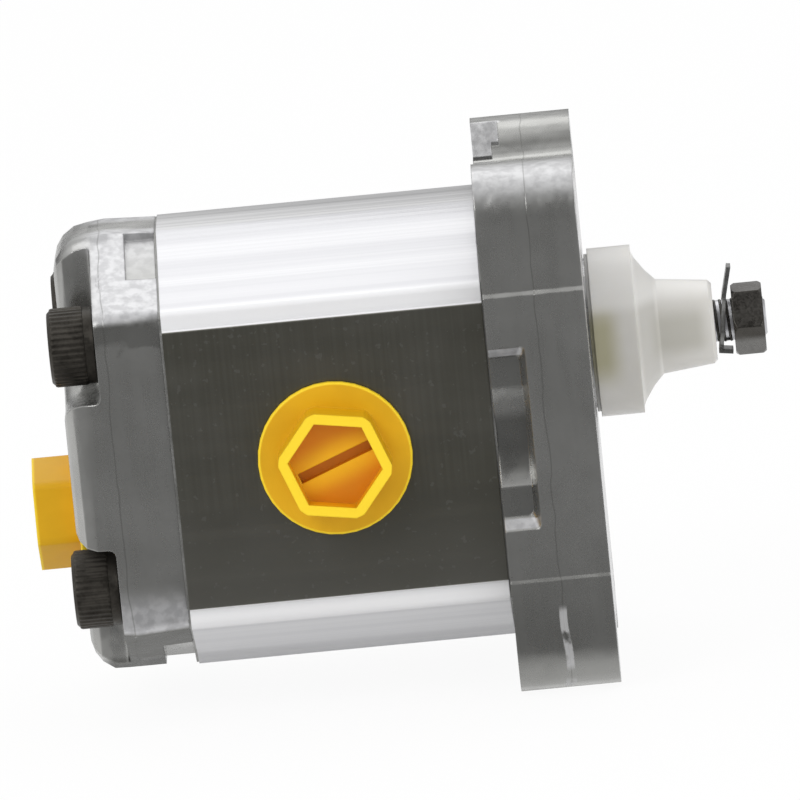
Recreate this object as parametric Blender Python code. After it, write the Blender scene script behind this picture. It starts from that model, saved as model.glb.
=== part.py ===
"""External gear pump with a tapered shaft: flange, extruded body, cast rear cover, gears and fasteners.

Metres, +Z up. +X runs along the drive shaft and out of the pump, and the origin is where that
axis crosses the mounting face of the flange. The pump's near side port looks along -Y.
"""
import math

import bmesh
import bpy
from mathutils import Matrix, Vector

# Clearances
SEAT_GAP = 0.0003
RUNNING_GAP = 0.0003
CUT_REACH = 0.0020

# Gears
GEAR_TEETH = 12
GEAR_CENTRES = 0.0228
GEAR_ADDENDUM = 0.0018
GEAR_ROOT_CLEARANCE = 0.0004
GEAR_WIDTH = 0.0180
GEAR_BACKLASH = 0.0003
PRESSURE_ANGLE = math.radians(27.0)
FLANK_STEPS = 5

# Drive shaft and driven gear journals
JOURNAL_RADIUS = 0.0060
JOURNAL_CHAMFER = 0.0005
TAPER_LARGE_RADIUS = 0.004875
TAPER_PER_LENGTH = 1.0 / 16.0
TAPER_START = 0.0045
TAPER_LENGTH = 0.0140
THREAD_RADIUS = 0.0035
THREAD_END = 0.0301
THREAD_CHAMFER = 0.0007

# Shaft key
KEY_WIDTH = 0.0024
KEY_RADIUS = 0.0034
KEY_CENTRE_X = 0.0105
KEY_STAND = 0.0009

# Bearing blocks and their bushes
BLOCK_LENGTH = 0.0176
BUSH_WALL = 0.0012
RELIEF_DEPTH = 0.0010
RELIEF_WIDTH = 0.0030
RELIEF_HEIGHT = 0.0050
BALANCE_SEAL_WIDTH = 0.0014
BALANCE_SEAL_HEIGHT = 0.0010
BALANCE_SEAL_LAND = 0.0018
BALANCE_SEAL_WAIST = 0.0056
BALANCE_SEAL_OPENING = 0.0035

# Body
BODY_HALF_HEIGHT = 0.0374
TOP_FLAT_HALF = 0.0077
RIDGE_Y = 0.0141
RIDGE_DROP = 0.0035
SIDE_Y = 0.0301
SHOULDER_Z = 0.0269
SHOULDER_ROUND = 0.0012
PORT_PAD = 0.0006
PORT_FACE_HALF = 0.0236
PAD_SLOPE = 0.0004
PORT_BORE_RADIUS = 0.0080
PORT_CHAMFER = 0.0010
CHANNEL_RADIUS = 0.0043
CHANNEL_Y = 0.0090

# Seals between the body and its two ends
BODY_SEAL_LAND = 0.0012
BODY_SEAL_WIDTH = 0.0015
BODY_SEAL_DEPTH = 0.0014

# Flange, whose centre lies below the shaft
FLANGE_THICKNESS = 0.0169
FLANGE_DROP = 0.0104
HOLE_Y = 0.0262
HOLE_Z = 0.0360
HOLE_RADIUS = 0.0035
LOBE_RADIUS = 0.0087
LOBE_INNER_ROUND = 0.0058
LOBE_FLANK_Y = 0.0186
DIP_FLOOR_Y = 0.0140
DIP_COVER = 0.0006
DIP_ROUND = 0.0030
LOBE_NOTCH_LENGTH = 0.0033
LOBE_NOTCH_TOP_LENGTH = 0.0046
LOBE_NOTCH_TOP_Z = 0.0413
LOBE_NOTCH_DEPTH = 0.0022
MIDDLE_HALF = 0.0241
MIDDLE_STEP = 0.0006
MIDDLE_SLOPE = 0.0007
PILOT_RADIUS = 0.0127
PILOT_HEIGHT = 0.0060
PILOT_CHAMFER = 0.0006
PILOT_RELIEF_WIDTH = 0.0024
PILOT_RELIEF_DEPTH = 0.0007

# Clearance pockets for hose fittings, in the sides of the flange
WINDOW_LENGTH = 0.0062
WINDOW_HALF = 0.0157
WINDOW_DEPTH = 0.0022
WINDOW_ROUND = 0.0010
SCOOP_LENGTH = 0.0053
SCOOP_HALF = 0.0085
SCOOP_DEPTH = 0.0032

# Shaft seal and its circlip, inside the pilot
PILOT_WALL = 0.0017
SEAL_WIDTH = 0.0060
SEAL_SEAT_DEPTH = 0.0055
SEAL_CASE_WALL = 0.0012
SEAL_LIP_SHARE = 0.375
SEAL_WEB_SHARE = 0.5625
CIRCLIP_THICKNESS = 0.0010
CIRCLIP_BITE = 0.0008
CIRCLIP_WIDTH = 0.0018
CIRCLIP_MOUTH = 0.0060

# Rear cover
COVER_THICKNESS = 0.0176
COVER_ROUND = 0.0060
COVER_SHOULDER_ROUND = 0.0030
COVER_PARTING_DEPTH = 0.0087
COVER_PARTING_BAND = 0.0021
COVER_DRAFT = 0.0002
COVER_BOTTOM_RISE = 0.0005
NOTCH_WALL_GAP = 0.0018
NOTCH_FILLET = 0.0011
NOTCH_LIP = 0.0034
POCKET_LENGTH = 0.0052
POCKET_INNER_Y = 0.0079
POCKET_OUTER_Y = 0.0197
POCKET_DEPTH = 0.0013
REAR_PORT_Z = -0.0220
REAR_PORT_SEAT = 0.0016
REAR_SLOT_DEPTH = 0.0052

# Cover bolts
BOLT_Y = 0.0183
BOLT_Z = 0.0208
BOLT_RADIUS = 0.0040
BOLT_HEAD_RADIUS = 0.0065
BOLT_HEAD_HEIGHT = 0.0077
BOLT_HEAD_CHAMFER = 0.0006
BOLT_HEAD_STAND = 0.0015
BOLT_SOCKET_FLATS = 0.0060
BOLT_SOCKET_DEPTH = 0.0038
BOLT_THREAD_LENGTH = 0.0105

# Dowel pins
DOWEL_RADIUS = 0.0020
DOWEL_HALF_LENGTH = 0.0050
DOWEL_Z = 0.0318

# Port plugs
PLUG_FLANGE_RADIUS = 0.0130
PLUG_FLANGE_THICKNESS = 0.0012
PLUG_FLANGE_EDGE = 0.0003
PLUG_HEX_FLATS = 0.0172
PLUG_HEX_HEIGHT = 0.0073
PLUG_HEX_CORNER_CUT = 0.0004
PLUG_HEX_WALL = 0.0017
PLUG_RECESS_DEPTH = 0.0042
PLUG_SLOT_WIDTH = 0.0018
PLUG_SLOT_DEPTH = 0.0020
PLUG_STEM_LENGTH = 0.0090
PLUG_STEM_WALL = 0.0016
SIDE_PLUG_TURN = math.radians(9.0)
REAR_PLUG_TURN = math.radians(-10.0)

# Shaft cap, tab washer and nut
CAP_WALL = 0.0013
CAP_BASE_END = 0.0082
CAP_BASE_LAND = 0.0011
CAP_LIP = 0.0009
CAP_LIP_LENGTH = 0.0006
CAP_CONE_START = 0.0087
CAP_SHELF_WIDTH = 0.0022
CAP_CONE_MIDDLE = 0.0103
CAP_CONE_FLARE = 0.00175
CAP_CONE_END = 0.0120
CAP_NECK_RADIUS = 0.00805
CAP_END = 0.0213
CAP_END_RADIUS = 0.0071
CAP_END_ROUND = 0.0006
CAP_END_WALL = 0.0013
TAB_WASHER_GAP = 0.0014
TAB_WASHER_THICKNESS = 0.0007
TAB_WASHER_RADIUS = 0.0046
TAB_WASHER_TILT = math.radians(8.0)
TAB_WIDTH = 0.0040
UPPER_TAB_REACH = 0.0095
UPPER_TAB_LEAN = 0.0005
LOWER_TAB_REACH = 0.0053
LOWER_TAB_LENGTH = 0.0024
NUT_GAP = 0.0018
NUT_FLATS = 0.0110
NUT_HEIGHT = 0.0052
NUT_CHAMFER = 0.0006
NUT_TURN = math.radians(-4.0)

# Facets round a full turn
FINE_FACETS = 48
ROUND_FACETS = 36
SMALL_FACETS = 24
INNER_FACETS = 32
HOLE_FACETS = 16
SMOOTH_ANGLE = math.radians(32.0)

# Places that follow from the sizes
FLANGE_REAR = -FLANGE_THICKNESS
BODY_FRONT = FLANGE_REAR - SEAT_GAP
BODY_LENGTH = 2.0 * BLOCK_LENGTH + GEAR_WIDTH + 2.0 * RUNNING_GAP
BODY_REAR = BODY_FRONT - BODY_LENGTH
GEAR_FRONT = BODY_FRONT - BLOCK_LENGTH - RUNNING_GAP
GEAR_REAR = GEAR_FRONT - GEAR_WIDTH
COVER_FRONT = BODY_REAR - SEAT_GAP
COVER_REAR = COVER_FRONT - COVER_THICKNESS
BODY_CENTRE_Z = -GEAR_CENTRES / 2.0
RIDGE_Z = BODY_HALF_HEIGHT - RIDGE_DROP
PORT_X = (BODY_FRONT + BODY_REAR) / 2.0
PORT_FACE_Y = SIDE_Y + PORT_PAD
PITCH_RADIUS = GEAR_CENTRES / 2.0
GEAR_RADIUS = PITCH_RADIUS + GEAR_ADDENDUM
GEAR_ROOT_RADIUS = GEAR_CENTRES - GEAR_RADIUS - GEAR_ROOT_CLEARANCE
BORE_RADIUS = GEAR_RADIUS + RUNNING_GAP
BLOCK_RADIUS = BORE_RADIUS - SEAT_GAP
BUSH_INNER_RADIUS = JOURNAL_RADIUS + RUNNING_GAP
BUSH_OUTER_RADIUS = BUSH_INNER_RADIUS + BUSH_WALL
BODY_SEAL_INNER = BORE_RADIUS + BODY_SEAL_LAND
FLANGE_HALF_WIDTH = HOLE_Y + LOBE_RADIUS
FLANGE_HALF_HEIGHT = HOLE_Z + LOBE_RADIUS
DIP_FLOOR_Z = BODY_HALF_HEIGHT + abs(FLANGE_DROP + BODY_CENTRE_Z) + DIP_COVER
NOTCH_RADIUS = BOLT_HEAD_RADIUS + NOTCH_WALL_GAP
BOLT_HEAD_REAR = COVER_REAR - BOLT_HEAD_STAND
BOLT_SEAT = BOLT_HEAD_REAR + BOLT_HEAD_HEIGHT + SEAT_GAP
BOLT_END = FLANGE_REAR + BOLT_THREAD_LENGTH
BOLT_HOLE_RADIUS = BOLT_RADIUS + SEAT_GAP
SEAL_RADIUS = PILOT_RADIUS - PILOT_WALL
CIRCLIP_X = SEAL_WIDTH - SEAL_SEAT_DEPTH + 2.0 * SEAT_GAP
REAR_PORT_FACE = COVER_REAR + REAR_PORT_SEAT
CAP_BASE_INNER = PILOT_RADIUS + SEAT_GAP
CAP_BASE_RADIUS = CAP_BASE_INNER + CAP_WALL
TAB_WASHER_X = CAP_END + TAB_WASHER_GAP
NUT_X = TAB_WASHER_X + NUT_GAP

# Finishes: colour, metallic, roughness
CAST = ("cast_aluminium", (0.40, 0.41, 0.40), 0.9, 0.48)
EXTRUDED = ("extruded_aluminium", (0.62, 0.63, 0.64), 0.9, 0.38)
STEEL = ("ground_steel", (0.50, 0.50, 0.51), 1.0, 0.25)
BLACK_STEEL = ("black_steel", (0.07, 0.07, 0.065), 0.7, 0.5)
ZINC_STEEL = ("zinc_steel", (0.55, 0.54, 0.51), 0.9, 0.35)
BUSH_METAL = ("bearing_bronze", (0.45, 0.33, 0.20), 0.9, 0.4)
BLOCK_METAL = ("block_aluminium", (0.55, 0.56, 0.57), 0.9, 0.35)
RUBBER = ("seal_rubber", (0.03, 0.03, 0.03), 0.0, 0.7)
YELLOW_PLASTIC = ("yellow_plastic", (0.80, 0.50, 0.03), 0.0, 0.42)
NATURAL_PLASTIC = ("natural_plastic", (0.66, 0.65, 0.60), 0.0, 0.4)


def clear_scene():
    for item in list(bpy.data.objects):
        bpy.data.objects.remove(item, do_unlink=True)


def material(finish):
    name, colour, metallic, roughness = finish
    found = bpy.data.materials.get(name)
    if found:
        return found
    made = bpy.data.materials.new(name)
    made.use_nodes = True
    shader = made.node_tree.nodes["Principled BSDF"]
    shader.inputs["Base Color"].default_value = (*colour, 1.0)
    shader.inputs["Metallic"].default_value = metallic
    shader.inputs["Roughness"].default_value = roughness
    made.diffuse_color = (*colour, 1.0)
    return made


def object_from(name, bm):
    bmesh.ops.remove_doubles(bm, verts=bm.verts, dist=1e-7)
    bmesh.ops.recalc_face_normals(bm, faces=bm.faces)
    mesh = bpy.data.meshes.new(name)
    bm.to_mesh(mesh)
    bm.free()
    made = bpy.data.objects.new(name, mesh)
    bpy.context.scene.collection.objects.link(made)
    return made


def skin(name, rings):
    """Closed solid through rings of equal length, with a flat cap on the first and the last."""
    bm = bmesh.new()
    loops = [[bm.verts.new(point) for point in ring] for ring in rings]
    for low, high in zip(loops, loops[1:]):
        for i in range(len(low)):
            j = (i + 1) % len(low)
            bm.faces.new((low[i], low[j], high[j], high[i]))
    bm.faces.new(list(reversed(loops[0])))
    bm.faces.new(loops[-1])
    return object_from(name, bm)


def prism(name, outline, x_low, x_high):
    """Outline in (y, z), drawn out along X."""
    return skin(name, [[(x, y, z) for y, z in outline] for x in (x_low, x_high)])


def turned(name, profile, facets, centre=(0.0, 0.0)):
    """Closed solid of an (x, radius) profile spun about the X axis through centre (y, z)."""
    bm = bmesh.new()
    verts = [bm.verts.new((x, 0.0, radius)) for x, radius in profile]
    edges = [bm.edges.new(pair) for pair in zip(verts, verts[1:])]
    if min(radius for _, radius in profile) > 0.0:
        edges.append(bm.edges.new((verts[-1], verts[0])))
    bmesh.ops.spin(bm, geom=verts + edges, cent=(0.0, 0.0, 0.0), axis=(1.0, 0.0, 0.0),
                   angle=2.0 * math.pi, steps=facets, use_merge=True)
    bmesh.ops.translate(bm, verts=bm.verts, vec=(0.0, centre[0], centre[1]))
    return object_from(name, bm)


def spool(name, sections, facets):
    """Round solid about the X axis through (x, radius) sections, with one flat face at each end."""
    angles = [2.0 * math.pi * step / facets for step in range(facets)]
    return skin(name, [[(x, radius * math.sin(a), radius * math.cos(a)) for a in angles] for x, radius in sections])


def rod(name, radius, x_low, x_high, facets, centre=(0.0, 0.0)):
    """Round bar along X."""
    profile = [(x_low, 0.0), (x_low, radius), (x_high, radius), (x_high, 0.0)]
    return turned(name, profile, facets, centre)


def box(name, low, high):
    bm = bmesh.new()
    bmesh.ops.create_cube(bm, size=1.0)
    size = Vector(high) - Vector(low)
    middle = (Vector(high) + Vector(low)) / 2.0
    bmesh.ops.scale(bm, vec=size, verts=bm.verts)
    bmesh.ops.translate(bm, vec=middle, verts=bm.verts)
    return object_from(name, bm)


def combine(target, tool, operation="DIFFERENCE"):
    """Applies a Boolean of tool to target, and removes tool."""
    modifier = target.modifiers.new("boolean", "BOOLEAN")
    modifier.operation = operation
    modifier.solver = "EXACT"
    modifier.object = tool
    depsgraph = bpy.context.evaluated_depsgraph_get()
    mesh = bpy.data.meshes.new_from_object(target.evaluated_get(depsgraph))
    target.modifiers.clear()
    target.data = mesh
    bpy.data.objects.remove(tool, do_unlink=True)
    return target


def finish_piece(piece, finish, location=(0.0, 0.0, 0.0)):
    """Gives a piece its finish, its place and smooth shading between sharp edges."""
    piece.data.materials.clear()
    piece.data.materials.append(material(finish))
    piece.data.shade_smooth()
    piece.data.set_sharp_from_angle(angle=SMOOTH_ANGLE)
    piece.location = location
    return piece


def mirrored(quarter):
    """Full outline from the corners in its first quarter, side first and top last."""
    upper = quarter + [(-y, z, radius) for y, z, radius in reversed(quarter)]
    return upper + [(-y, -z, radius) for y, z, radius in upper]


def rounded(corners, steps=5):
    """Outline through corners (y, z, radius), with an arc where the radius isn't zero."""
    points = []
    count = len(corners)
    for i, (y, z, radius) in enumerate(corners):
        here = Vector((y, z))
        if radius <= 0.0:
            points.append((y, z))
            continue
        back = (Vector(corners[i - 1][:2]) - here).normalized()
        ahead = (Vector(corners[(i + 1) % count][:2]) - here).normalized()
        half = back.angle(ahead) / 2.0
        centre = here + (back + ahead).normalized() * (radius / math.sin(half))
        start = here + back * (radius / math.tan(half)) - centre
        turn = math.pi - 2.0 * half
        if back.x * ahead.y - back.y * ahead.x > 0.0:
            turn = -turn
        for step in range(steps + 1):
            arm = start.copy()
            arm.rotate(Matrix.Rotation(turn * step / steps, 2))
            points.append(tuple(centre + arm))
    return points


def grown(corners, distance):
    """Corners of the outline moved outward by distance, or inward where it is negative."""
    count = len(corners)
    moved = []
    for i, (y, z, radius) in enumerate(corners):
        here = Vector((y, z))
        before = (here - Vector(corners[i - 1][:2])).normalized()
        after = (Vector(corners[(i + 1) % count][:2]) - here).normalized()
        normal_before = Vector((before.y, -before.x))
        normal_after = Vector((after.y, -after.x))
        mitre = normal_before + normal_after
        place = here + mitre * (distance / (1.0 + normal_before.dot(normal_after)))
        convex = before.x * after.y - before.y * after.x > 0.0
        new_radius = radius + distance if convex else radius - distance
        moved.append((place.x, place.y, max(new_radius, 0.0002) if radius > 0.0 else 0.0))
    return moved


def shifted(outline, z_shift):
    return [(y, z + z_shift) for y, z in outline]


def racetrack(radius):
    """Outline round both gear axes at one distance from the line between them."""
    end = PITCH_RADIUS + radius
    corners = [(radius, end, radius), (-radius, end, radius), (-radius, -end, radius), (radius, -end, radius)]
    corners = [corners[3]] + corners[:3]
    return shifted(rounded(corners, 10), BODY_CENTRE_Z)


def figure_eight(radius, facets):
    """Outline of two circles about the gear axes, joined where they cross."""
    dip = math.asin(PITCH_RADIUS / radius)
    sweep = math.pi + 2.0 * dip
    steps = round(facets * sweep / (2.0 * math.pi))
    points = []
    for side in (1.0, -1.0):
        for step in range(steps):
            angle = -dip + sweep * step / steps
            y = side * radius * math.cos(angle)
            points.append((y, side * (radius * math.sin(angle) + PITCH_RADIUS)))
    return shifted(points, BODY_CENTRE_Z)


def body_corners():
    return mirrored([
        (PORT_FACE_Y, PORT_FACE_HALF, 0.0),
        (SIDE_Y, PORT_FACE_HALF + PAD_SLOPE, 0.0),
        (SIDE_Y, SHOULDER_Z, SHOULDER_ROUND),
        (RIDGE_Y, RIDGE_Z, 0.0),
        (TOP_FLAT_HALF, BODY_HALF_HEIGHT, 0.0),
    ])


def cover_corners():
    return mirrored([
        (SIDE_Y, SHOULDER_Z, COVER_SHOULDER_ROUND),
        (RIDGE_Y, RIDGE_Z, 0.0),
        (TOP_FLAT_HALF, BODY_HALF_HEIGHT, 0.0),
    ])


def flange_corners():
    return mirrored([
        (FLANGE_HALF_WIDTH + MIDDLE_STEP, MIDDLE_HALF, 0.0),
        (FLANGE_HALF_WIDTH, MIDDLE_HALF + MIDDLE_SLOPE, 0.0),
        (FLANGE_HALF_WIDTH, FLANGE_HALF_HEIGHT, LOBE_RADIUS),
        (LOBE_FLANK_Y, FLANGE_HALF_HEIGHT, LOBE_INNER_ROUND),
        (DIP_FLOOR_Y, DIP_FLOOR_Z, DIP_ROUND),
    ])


def shoulder_z(y):
    """Height of the body outline above the body centre, at y on its sloping shoulder."""
    if y < RIDGE_Y:
        share = (y - TOP_FLAT_HALF) / (RIDGE_Y - TOP_FLAT_HALF)
        return BODY_HALF_HEIGHT + share * (RIDGE_Z - BODY_HALF_HEIGHT)
    share = (y - RIDGE_Y) / (SIDE_Y - RIDGE_Y)
    return RIDGE_Z + share * (SHOULDER_Z - RIDGE_Z)


def bolt_places():
    """Axis of each cover bolt as (name, y, z)."""
    for row, z_side in (("upper", 1.0), ("lower", -1.0)):
        for column, y_side in (("near", -1.0), ("far", 1.0)):
            yield f"{row}_{column}", y_side * BOLT_Y, BODY_CENTRE_Z + z_side * BOLT_Z


def dowel_places():
    """Axis height of each dowel pin as (name, z)."""
    yield "upper", BODY_CENTRE_Z + DOWEL_Z
    yield "lower", BODY_CENTRE_Z - DOWEL_Z


def hexagon(flats, turn=0.0):
    radius = flats / math.sqrt(3.0)
    angles = [turn + math.pi / 3.0 * k for k in range(6)]
    return [(radius * math.cos(angle), radius * math.sin(angle)) for angle in angles]


def drill(piece, radius, x_low, x_high, facets, centre=(0.0, 0.0)):
    return combine(piece, rod("drill", radius, x_low, x_high, facets, centre))


def seal_ring(name, inner, width, x_low, x_high):
    """Racetrack ring round both gear bores."""
    ring = prism(name, racetrack(inner + width), x_low, x_high)
    return combine(ring, prism("hole", racetrack(inner), x_low - CUT_REACH, x_high + CUT_REACH))


def involute_angle(radius, base):
    pressure = math.acos(min(1.0, base / radius))
    return math.tan(pressure) - pressure


def gear_outline(first_tooth):
    """Gear of involute teeth on the X axis, with a tooth's middle at angle first_tooth."""
    base = PITCH_RADIUS * math.cos(PRESSURE_ANGLE)
    pitch = 2.0 * math.pi / GEAR_TEETH
    half_tooth = (pitch - GEAR_BACKLASH / PITCH_RADIUS) / 4.0
    half_base = half_tooth + involute_angle(PITCH_RADIUS, base)
    flank = []
    for step in range(FLANK_STEPS + 1):
        radius = base + (GEAR_RADIUS - base) * step / FLANK_STEPS
        flank.append((radius, half_base - involute_angle(radius, base)))
    half_tooth_outline = [(GEAR_ROOT_RADIUS, half_base)] + flank
    tooth = [(radius, -angle) for radius, angle in half_tooth_outline]
    tooth += list(reversed(half_tooth_outline))
    points = []
    for k in range(GEAR_TEETH):
        middle = first_tooth + k * pitch
        for radius, angle in tooth:
            points.append((radius * math.cos(middle + angle), radius * math.sin(middle + angle)))
        points.append((GEAR_ROOT_RADIUS * math.cos(middle + pitch / 2.0),
                       GEAR_ROOT_RADIUS * math.sin(middle + pitch / 2.0)))
    return points


def journals(profile_front, name):
    """Turned shaft from the rear journal forward to the points of profile_front."""
    rear = BODY_REAR + 2.0 * SEAT_GAP
    profile = [(rear, 0.0), (rear, JOURNAL_RADIUS - JOURNAL_CHAMFER), (rear + JOURNAL_CHAMFER, JOURNAL_RADIUS)]
    return turned(name, profile + profile_front, INNER_FACETS)


def make_drive_shaft():
    taper_end = TAPER_START + TAPER_LENGTH
    taper_small = TAPER_LARGE_RADIUS - TAPER_LENGTH * TAPER_PER_LENGTH
    step = JOURNAL_RADIUS - TAPER_LARGE_RADIUS
    shaft = journals([
        (TAPER_START - step, JOURNAL_RADIUS),
        (TAPER_START, TAPER_LARGE_RADIUS),
        (taper_end, taper_small),
        (taper_end + (taper_small - THREAD_RADIUS), THREAD_RADIUS),
        (THREAD_END - THREAD_CHAMFER, THREAD_RADIUS),
        (THREAD_END, THREAD_RADIUS - THREAD_CHAMFER),
        (THREAD_END, 0.0),
    ], "drive_gear_shaft")
    gear = prism("teeth", gear_outline(-math.pi / 2.0), GEAR_REAR, GEAR_FRONT)
    combine(shaft, gear, "UNION")
    combine(shaft, key_solid("keyway", SEAT_GAP))
    return finish_piece(shaft, STEEL)


def key_solid(name, gap):
    """Half-moon key in the taper, grown by gap for its keyway."""
    radius = KEY_RADIUS + gap
    half = KEY_WIDTH / 2.0 + gap
    top = taper_radius(KEY_CENTRE_X) + KEY_STAND
    bm = bmesh.new()
    bmesh.ops.create_cone(bm, cap_ends=True, segments=SMALL_FACETS, radius1=radius, radius2=radius,
                          depth=2.0 * half)
    bmesh.ops.rotate(bm, verts=bm.verts, cent=(0.0, 0.0, 0.0), matrix=Matrix.Rotation(math.pi / 2.0, 3, "X"))
    bmesh.ops.translate(bm, verts=bm.verts, vec=(KEY_CENTRE_X, 0.0, top))
    disc = object_from(name, bm)
    if gap > 0.0:
        return disc
    reach = radius + CUT_REACH
    return combine(disc, box("flat", (KEY_CENTRE_X - reach, -reach, top), (KEY_CENTRE_X + reach, reach, top + reach)))


def taper_radius(x):
    return TAPER_LARGE_RADIUS - (x - TAPER_START) * TAPER_PER_LENGTH


def make_driven_gear():
    front = BODY_FRONT - SEAT_GAP
    shaft = journals([
        (front - JOURNAL_CHAMFER, JOURNAL_RADIUS),
        (front, JOURNAL_RADIUS - JOURNAL_CHAMFER),
        (front, 0.0),
    ], "driven_gear_shaft")
    first_tooth = math.pi / 2.0 + math.pi / GEAR_TEETH
    combine(shaft, prism("teeth", gear_outline(first_tooth), GEAR_REAR, GEAR_FRONT), "UNION")
    return finish_piece(shaft, STEEL, (0.0, 0.0, -GEAR_CENTRES))


def balance_seal(name, gap, x_low, x_high):
    """Three-shaped seal on the outer face of a bearing block, grown by gap for its groove."""
    outer = BUSH_OUTER_RADIUS + SEAT_GAP + BALANCE_SEAL_LAND + BALANCE_SEAL_WIDTH
    corners = mirrored([
        (outer - BALANCE_SEAL_WAIST, BALANCE_SEAL_WIDTH, 0.0),
        (outer, BALANCE_SEAL_WIDTH + BALANCE_SEAL_WAIST, 0.0),
        (outer, PITCH_RADIUS + outer, outer),
    ])
    outline = shifted(rounded(grown(corners, gap), 8), BODY_CENTRE_Z)
    inner_outline = shifted(rounded(grown(corners, -BALANCE_SEAL_WIDTH - gap), 8), BODY_CENTRE_Z)
    seal = prism(name, outline, x_low, x_high)
    combine(seal, prism("hole", inner_outline, x_low - CUT_REACH, x_high + CUT_REACH))
    reach = 2.0 * BLOCK_RADIUS
    opening = BALANCE_SEAL_OPENING + gap
    cutter = box("opening", (x_low - CUT_REACH, opening, BODY_CENTRE_Z - reach),
                 (x_high + CUT_REACH, reach, BODY_CENTRE_Z + reach))
    return combine(seal, cutter)


def make_block(side, x_outer, x_inner):
    """Bearing block from its outer face, at the end of the body, to its face at the gears."""
    low, high = min(x_outer, x_inner), max(x_outer, x_inner)
    inward = 1.0 if x_inner > x_outer else -1.0
    block = prism(f"{side}_bearing_block", figure_eight(BLOCK_RADIUS, ROUND_FACETS), low, high)
    for z in (0.0, -GEAR_CENTRES):
        drill(block, BUSH_OUTER_RADIUS + SEAT_GAP, low - CUT_REACH, high + CUT_REACH, INNER_FACETS, (0.0, z))
    relief_x = sorted((x_inner - inward * RELIEF_DEPTH, x_inner + inward * CUT_REACH))
    for y_side in (-1.0, 1.0):
        ys = sorted((y_side * 0.0015, y_side * (0.0015 + RELIEF_WIDTH)))
        cutter = box("relief", (relief_x[0], ys[0], BODY_CENTRE_Z - RELIEF_HEIGHT / 2.0),
                     (relief_x[1], ys[1], BODY_CENTRE_Z + RELIEF_HEIGHT / 2.0))
        combine(block, cutter)
    groove_x = sorted((x_outer + inward * (BALANCE_SEAL_HEIGHT + SEAT_GAP), x_outer - inward * CUT_REACH))
    combine(block, balance_seal("groove", SEAT_GAP, *groove_x))
    finish_piece(block, BLOCK_METAL)
    seal_x = sorted((x_outer, x_outer + inward * BALANCE_SEAL_HEIGHT))
    finish_piece(balance_seal(f"{side}_balance_seal", 0.0, *seal_x), RUBBER)
    for shaft, z in (("drive", 0.0), ("driven", -GEAR_CENTRES)):
        x_low, x_high = low + SEAT_GAP, high - SEAT_GAP
        profile = [(x_low, BUSH_INNER_RADIUS), (x_low, BUSH_OUTER_RADIUS),
                   (x_high, BUSH_OUTER_RADIUS), (x_high, BUSH_INNER_RADIUS)]
        bush = turned(f"{side}_{shaft}_bush", profile, INNER_FACETS)
        finish_piece(bush, BUSH_METAL, (0.0, 0.0, z))


def make_body():
    body = prism("pump_body", shifted(rounded(body_corners()), BODY_CENTRE_Z), BODY_REAR, BODY_FRONT)
    through = (BODY_REAR - CUT_REACH, BODY_FRONT + CUT_REACH)
    combine(body, prism("bore", figure_eight(BORE_RADIUS, ROUND_FACETS), *through))
    for _, y, z in bolt_places():
        drill(body, BOLT_HOLE_RADIUS, *through, HOLE_FACETS, (y, z))
    drill(body, CHANNEL_RADIUS, BODY_REAR - CUT_REACH, PORT_X, HOLE_FACETS, (CHANNEL_Y, BODY_CENTRE_Z))
    for _, z in dowel_places():
        depth = DOWEL_HALF_LENGTH + SEAT_GAP
        drill(body, DOWEL_RADIUS + SEAT_GAP, BODY_FRONT - depth, through[1], HOLE_FACETS, (0.0, z))
        drill(body, DOWEL_RADIUS + SEAT_GAP, through[0], BODY_REAR + depth, HOLE_FACETS, (0.0, z))
    combine(body, side_port_cutter())
    return finish_piece(body, EXTRUDED)


def side_port_cutter():
    """Port bore with a chamfered mouth, from the near port face in to the gears."""
    mouth = PORT_BORE_RADIUS + PORT_CHAMFER
    profile = [(0.0, 0.0), (0.0, PORT_BORE_RADIUS), (PORT_FACE_Y - PORT_CHAMFER, PORT_BORE_RADIUS),
               (PORT_FACE_Y, mouth), (PORT_FACE_Y + CUT_REACH, mouth), (PORT_FACE_Y + CUT_REACH, 0.0)]
    cutter = turned("port", profile, ROUND_FACETS)
    cutter.data.transform(Matrix.Translation((PORT_X, 0.0, BODY_CENTRE_Z)) @ Matrix.Rotation(-math.pi / 2.0, 4, "Z"))
    return cutter


def window_cutter(y_side):
    """Slope-sided pocket in the side of the flange, open to the body."""
    face = FLANGE_HALF_WIDTH + MIDDLE_STEP
    rings = []
    for depth, shrink in ((-CUT_REACH, -CUT_REACH), (WINDOW_DEPTH, WINDOW_DEPTH)):
        half = WINDOW_HALF - shrink
        front = FLANGE_REAR + WINDOW_LENGTH - shrink * 0.5
        back = FLANGE_REAR - CUT_REACH
        corners = [(back, -half, 0.0), (front, -half, WINDOW_ROUND), (front, half, WINDOW_ROUND), (back, half, 0.0)]
        outline = rounded(corners)
        rings.append([(x, y_side * (face - depth), z - FLANGE_DROP) for x, z in outline])
    return skin("window", rings)


def scoop_cutter(y_side):
    """Round-bottomed deeper part of the same pocket."""
    radius = (SCOOP_HALF ** 2 + SCOOP_DEPTH ** 2) / (2.0 * SCOOP_DEPTH)
    floor = FLANGE_HALF_WIDTH + MIDDLE_STEP - WINDOW_DEPTH - SCOOP_DEPTH
    centre = (y_side * (floor + radius), -FLANGE_DROP)
    return rod("scoop", radius, FLANGE_REAR - CUT_REACH, FLANGE_REAR + SCOOP_LENGTH, FINE_FACETS, centre)


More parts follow.
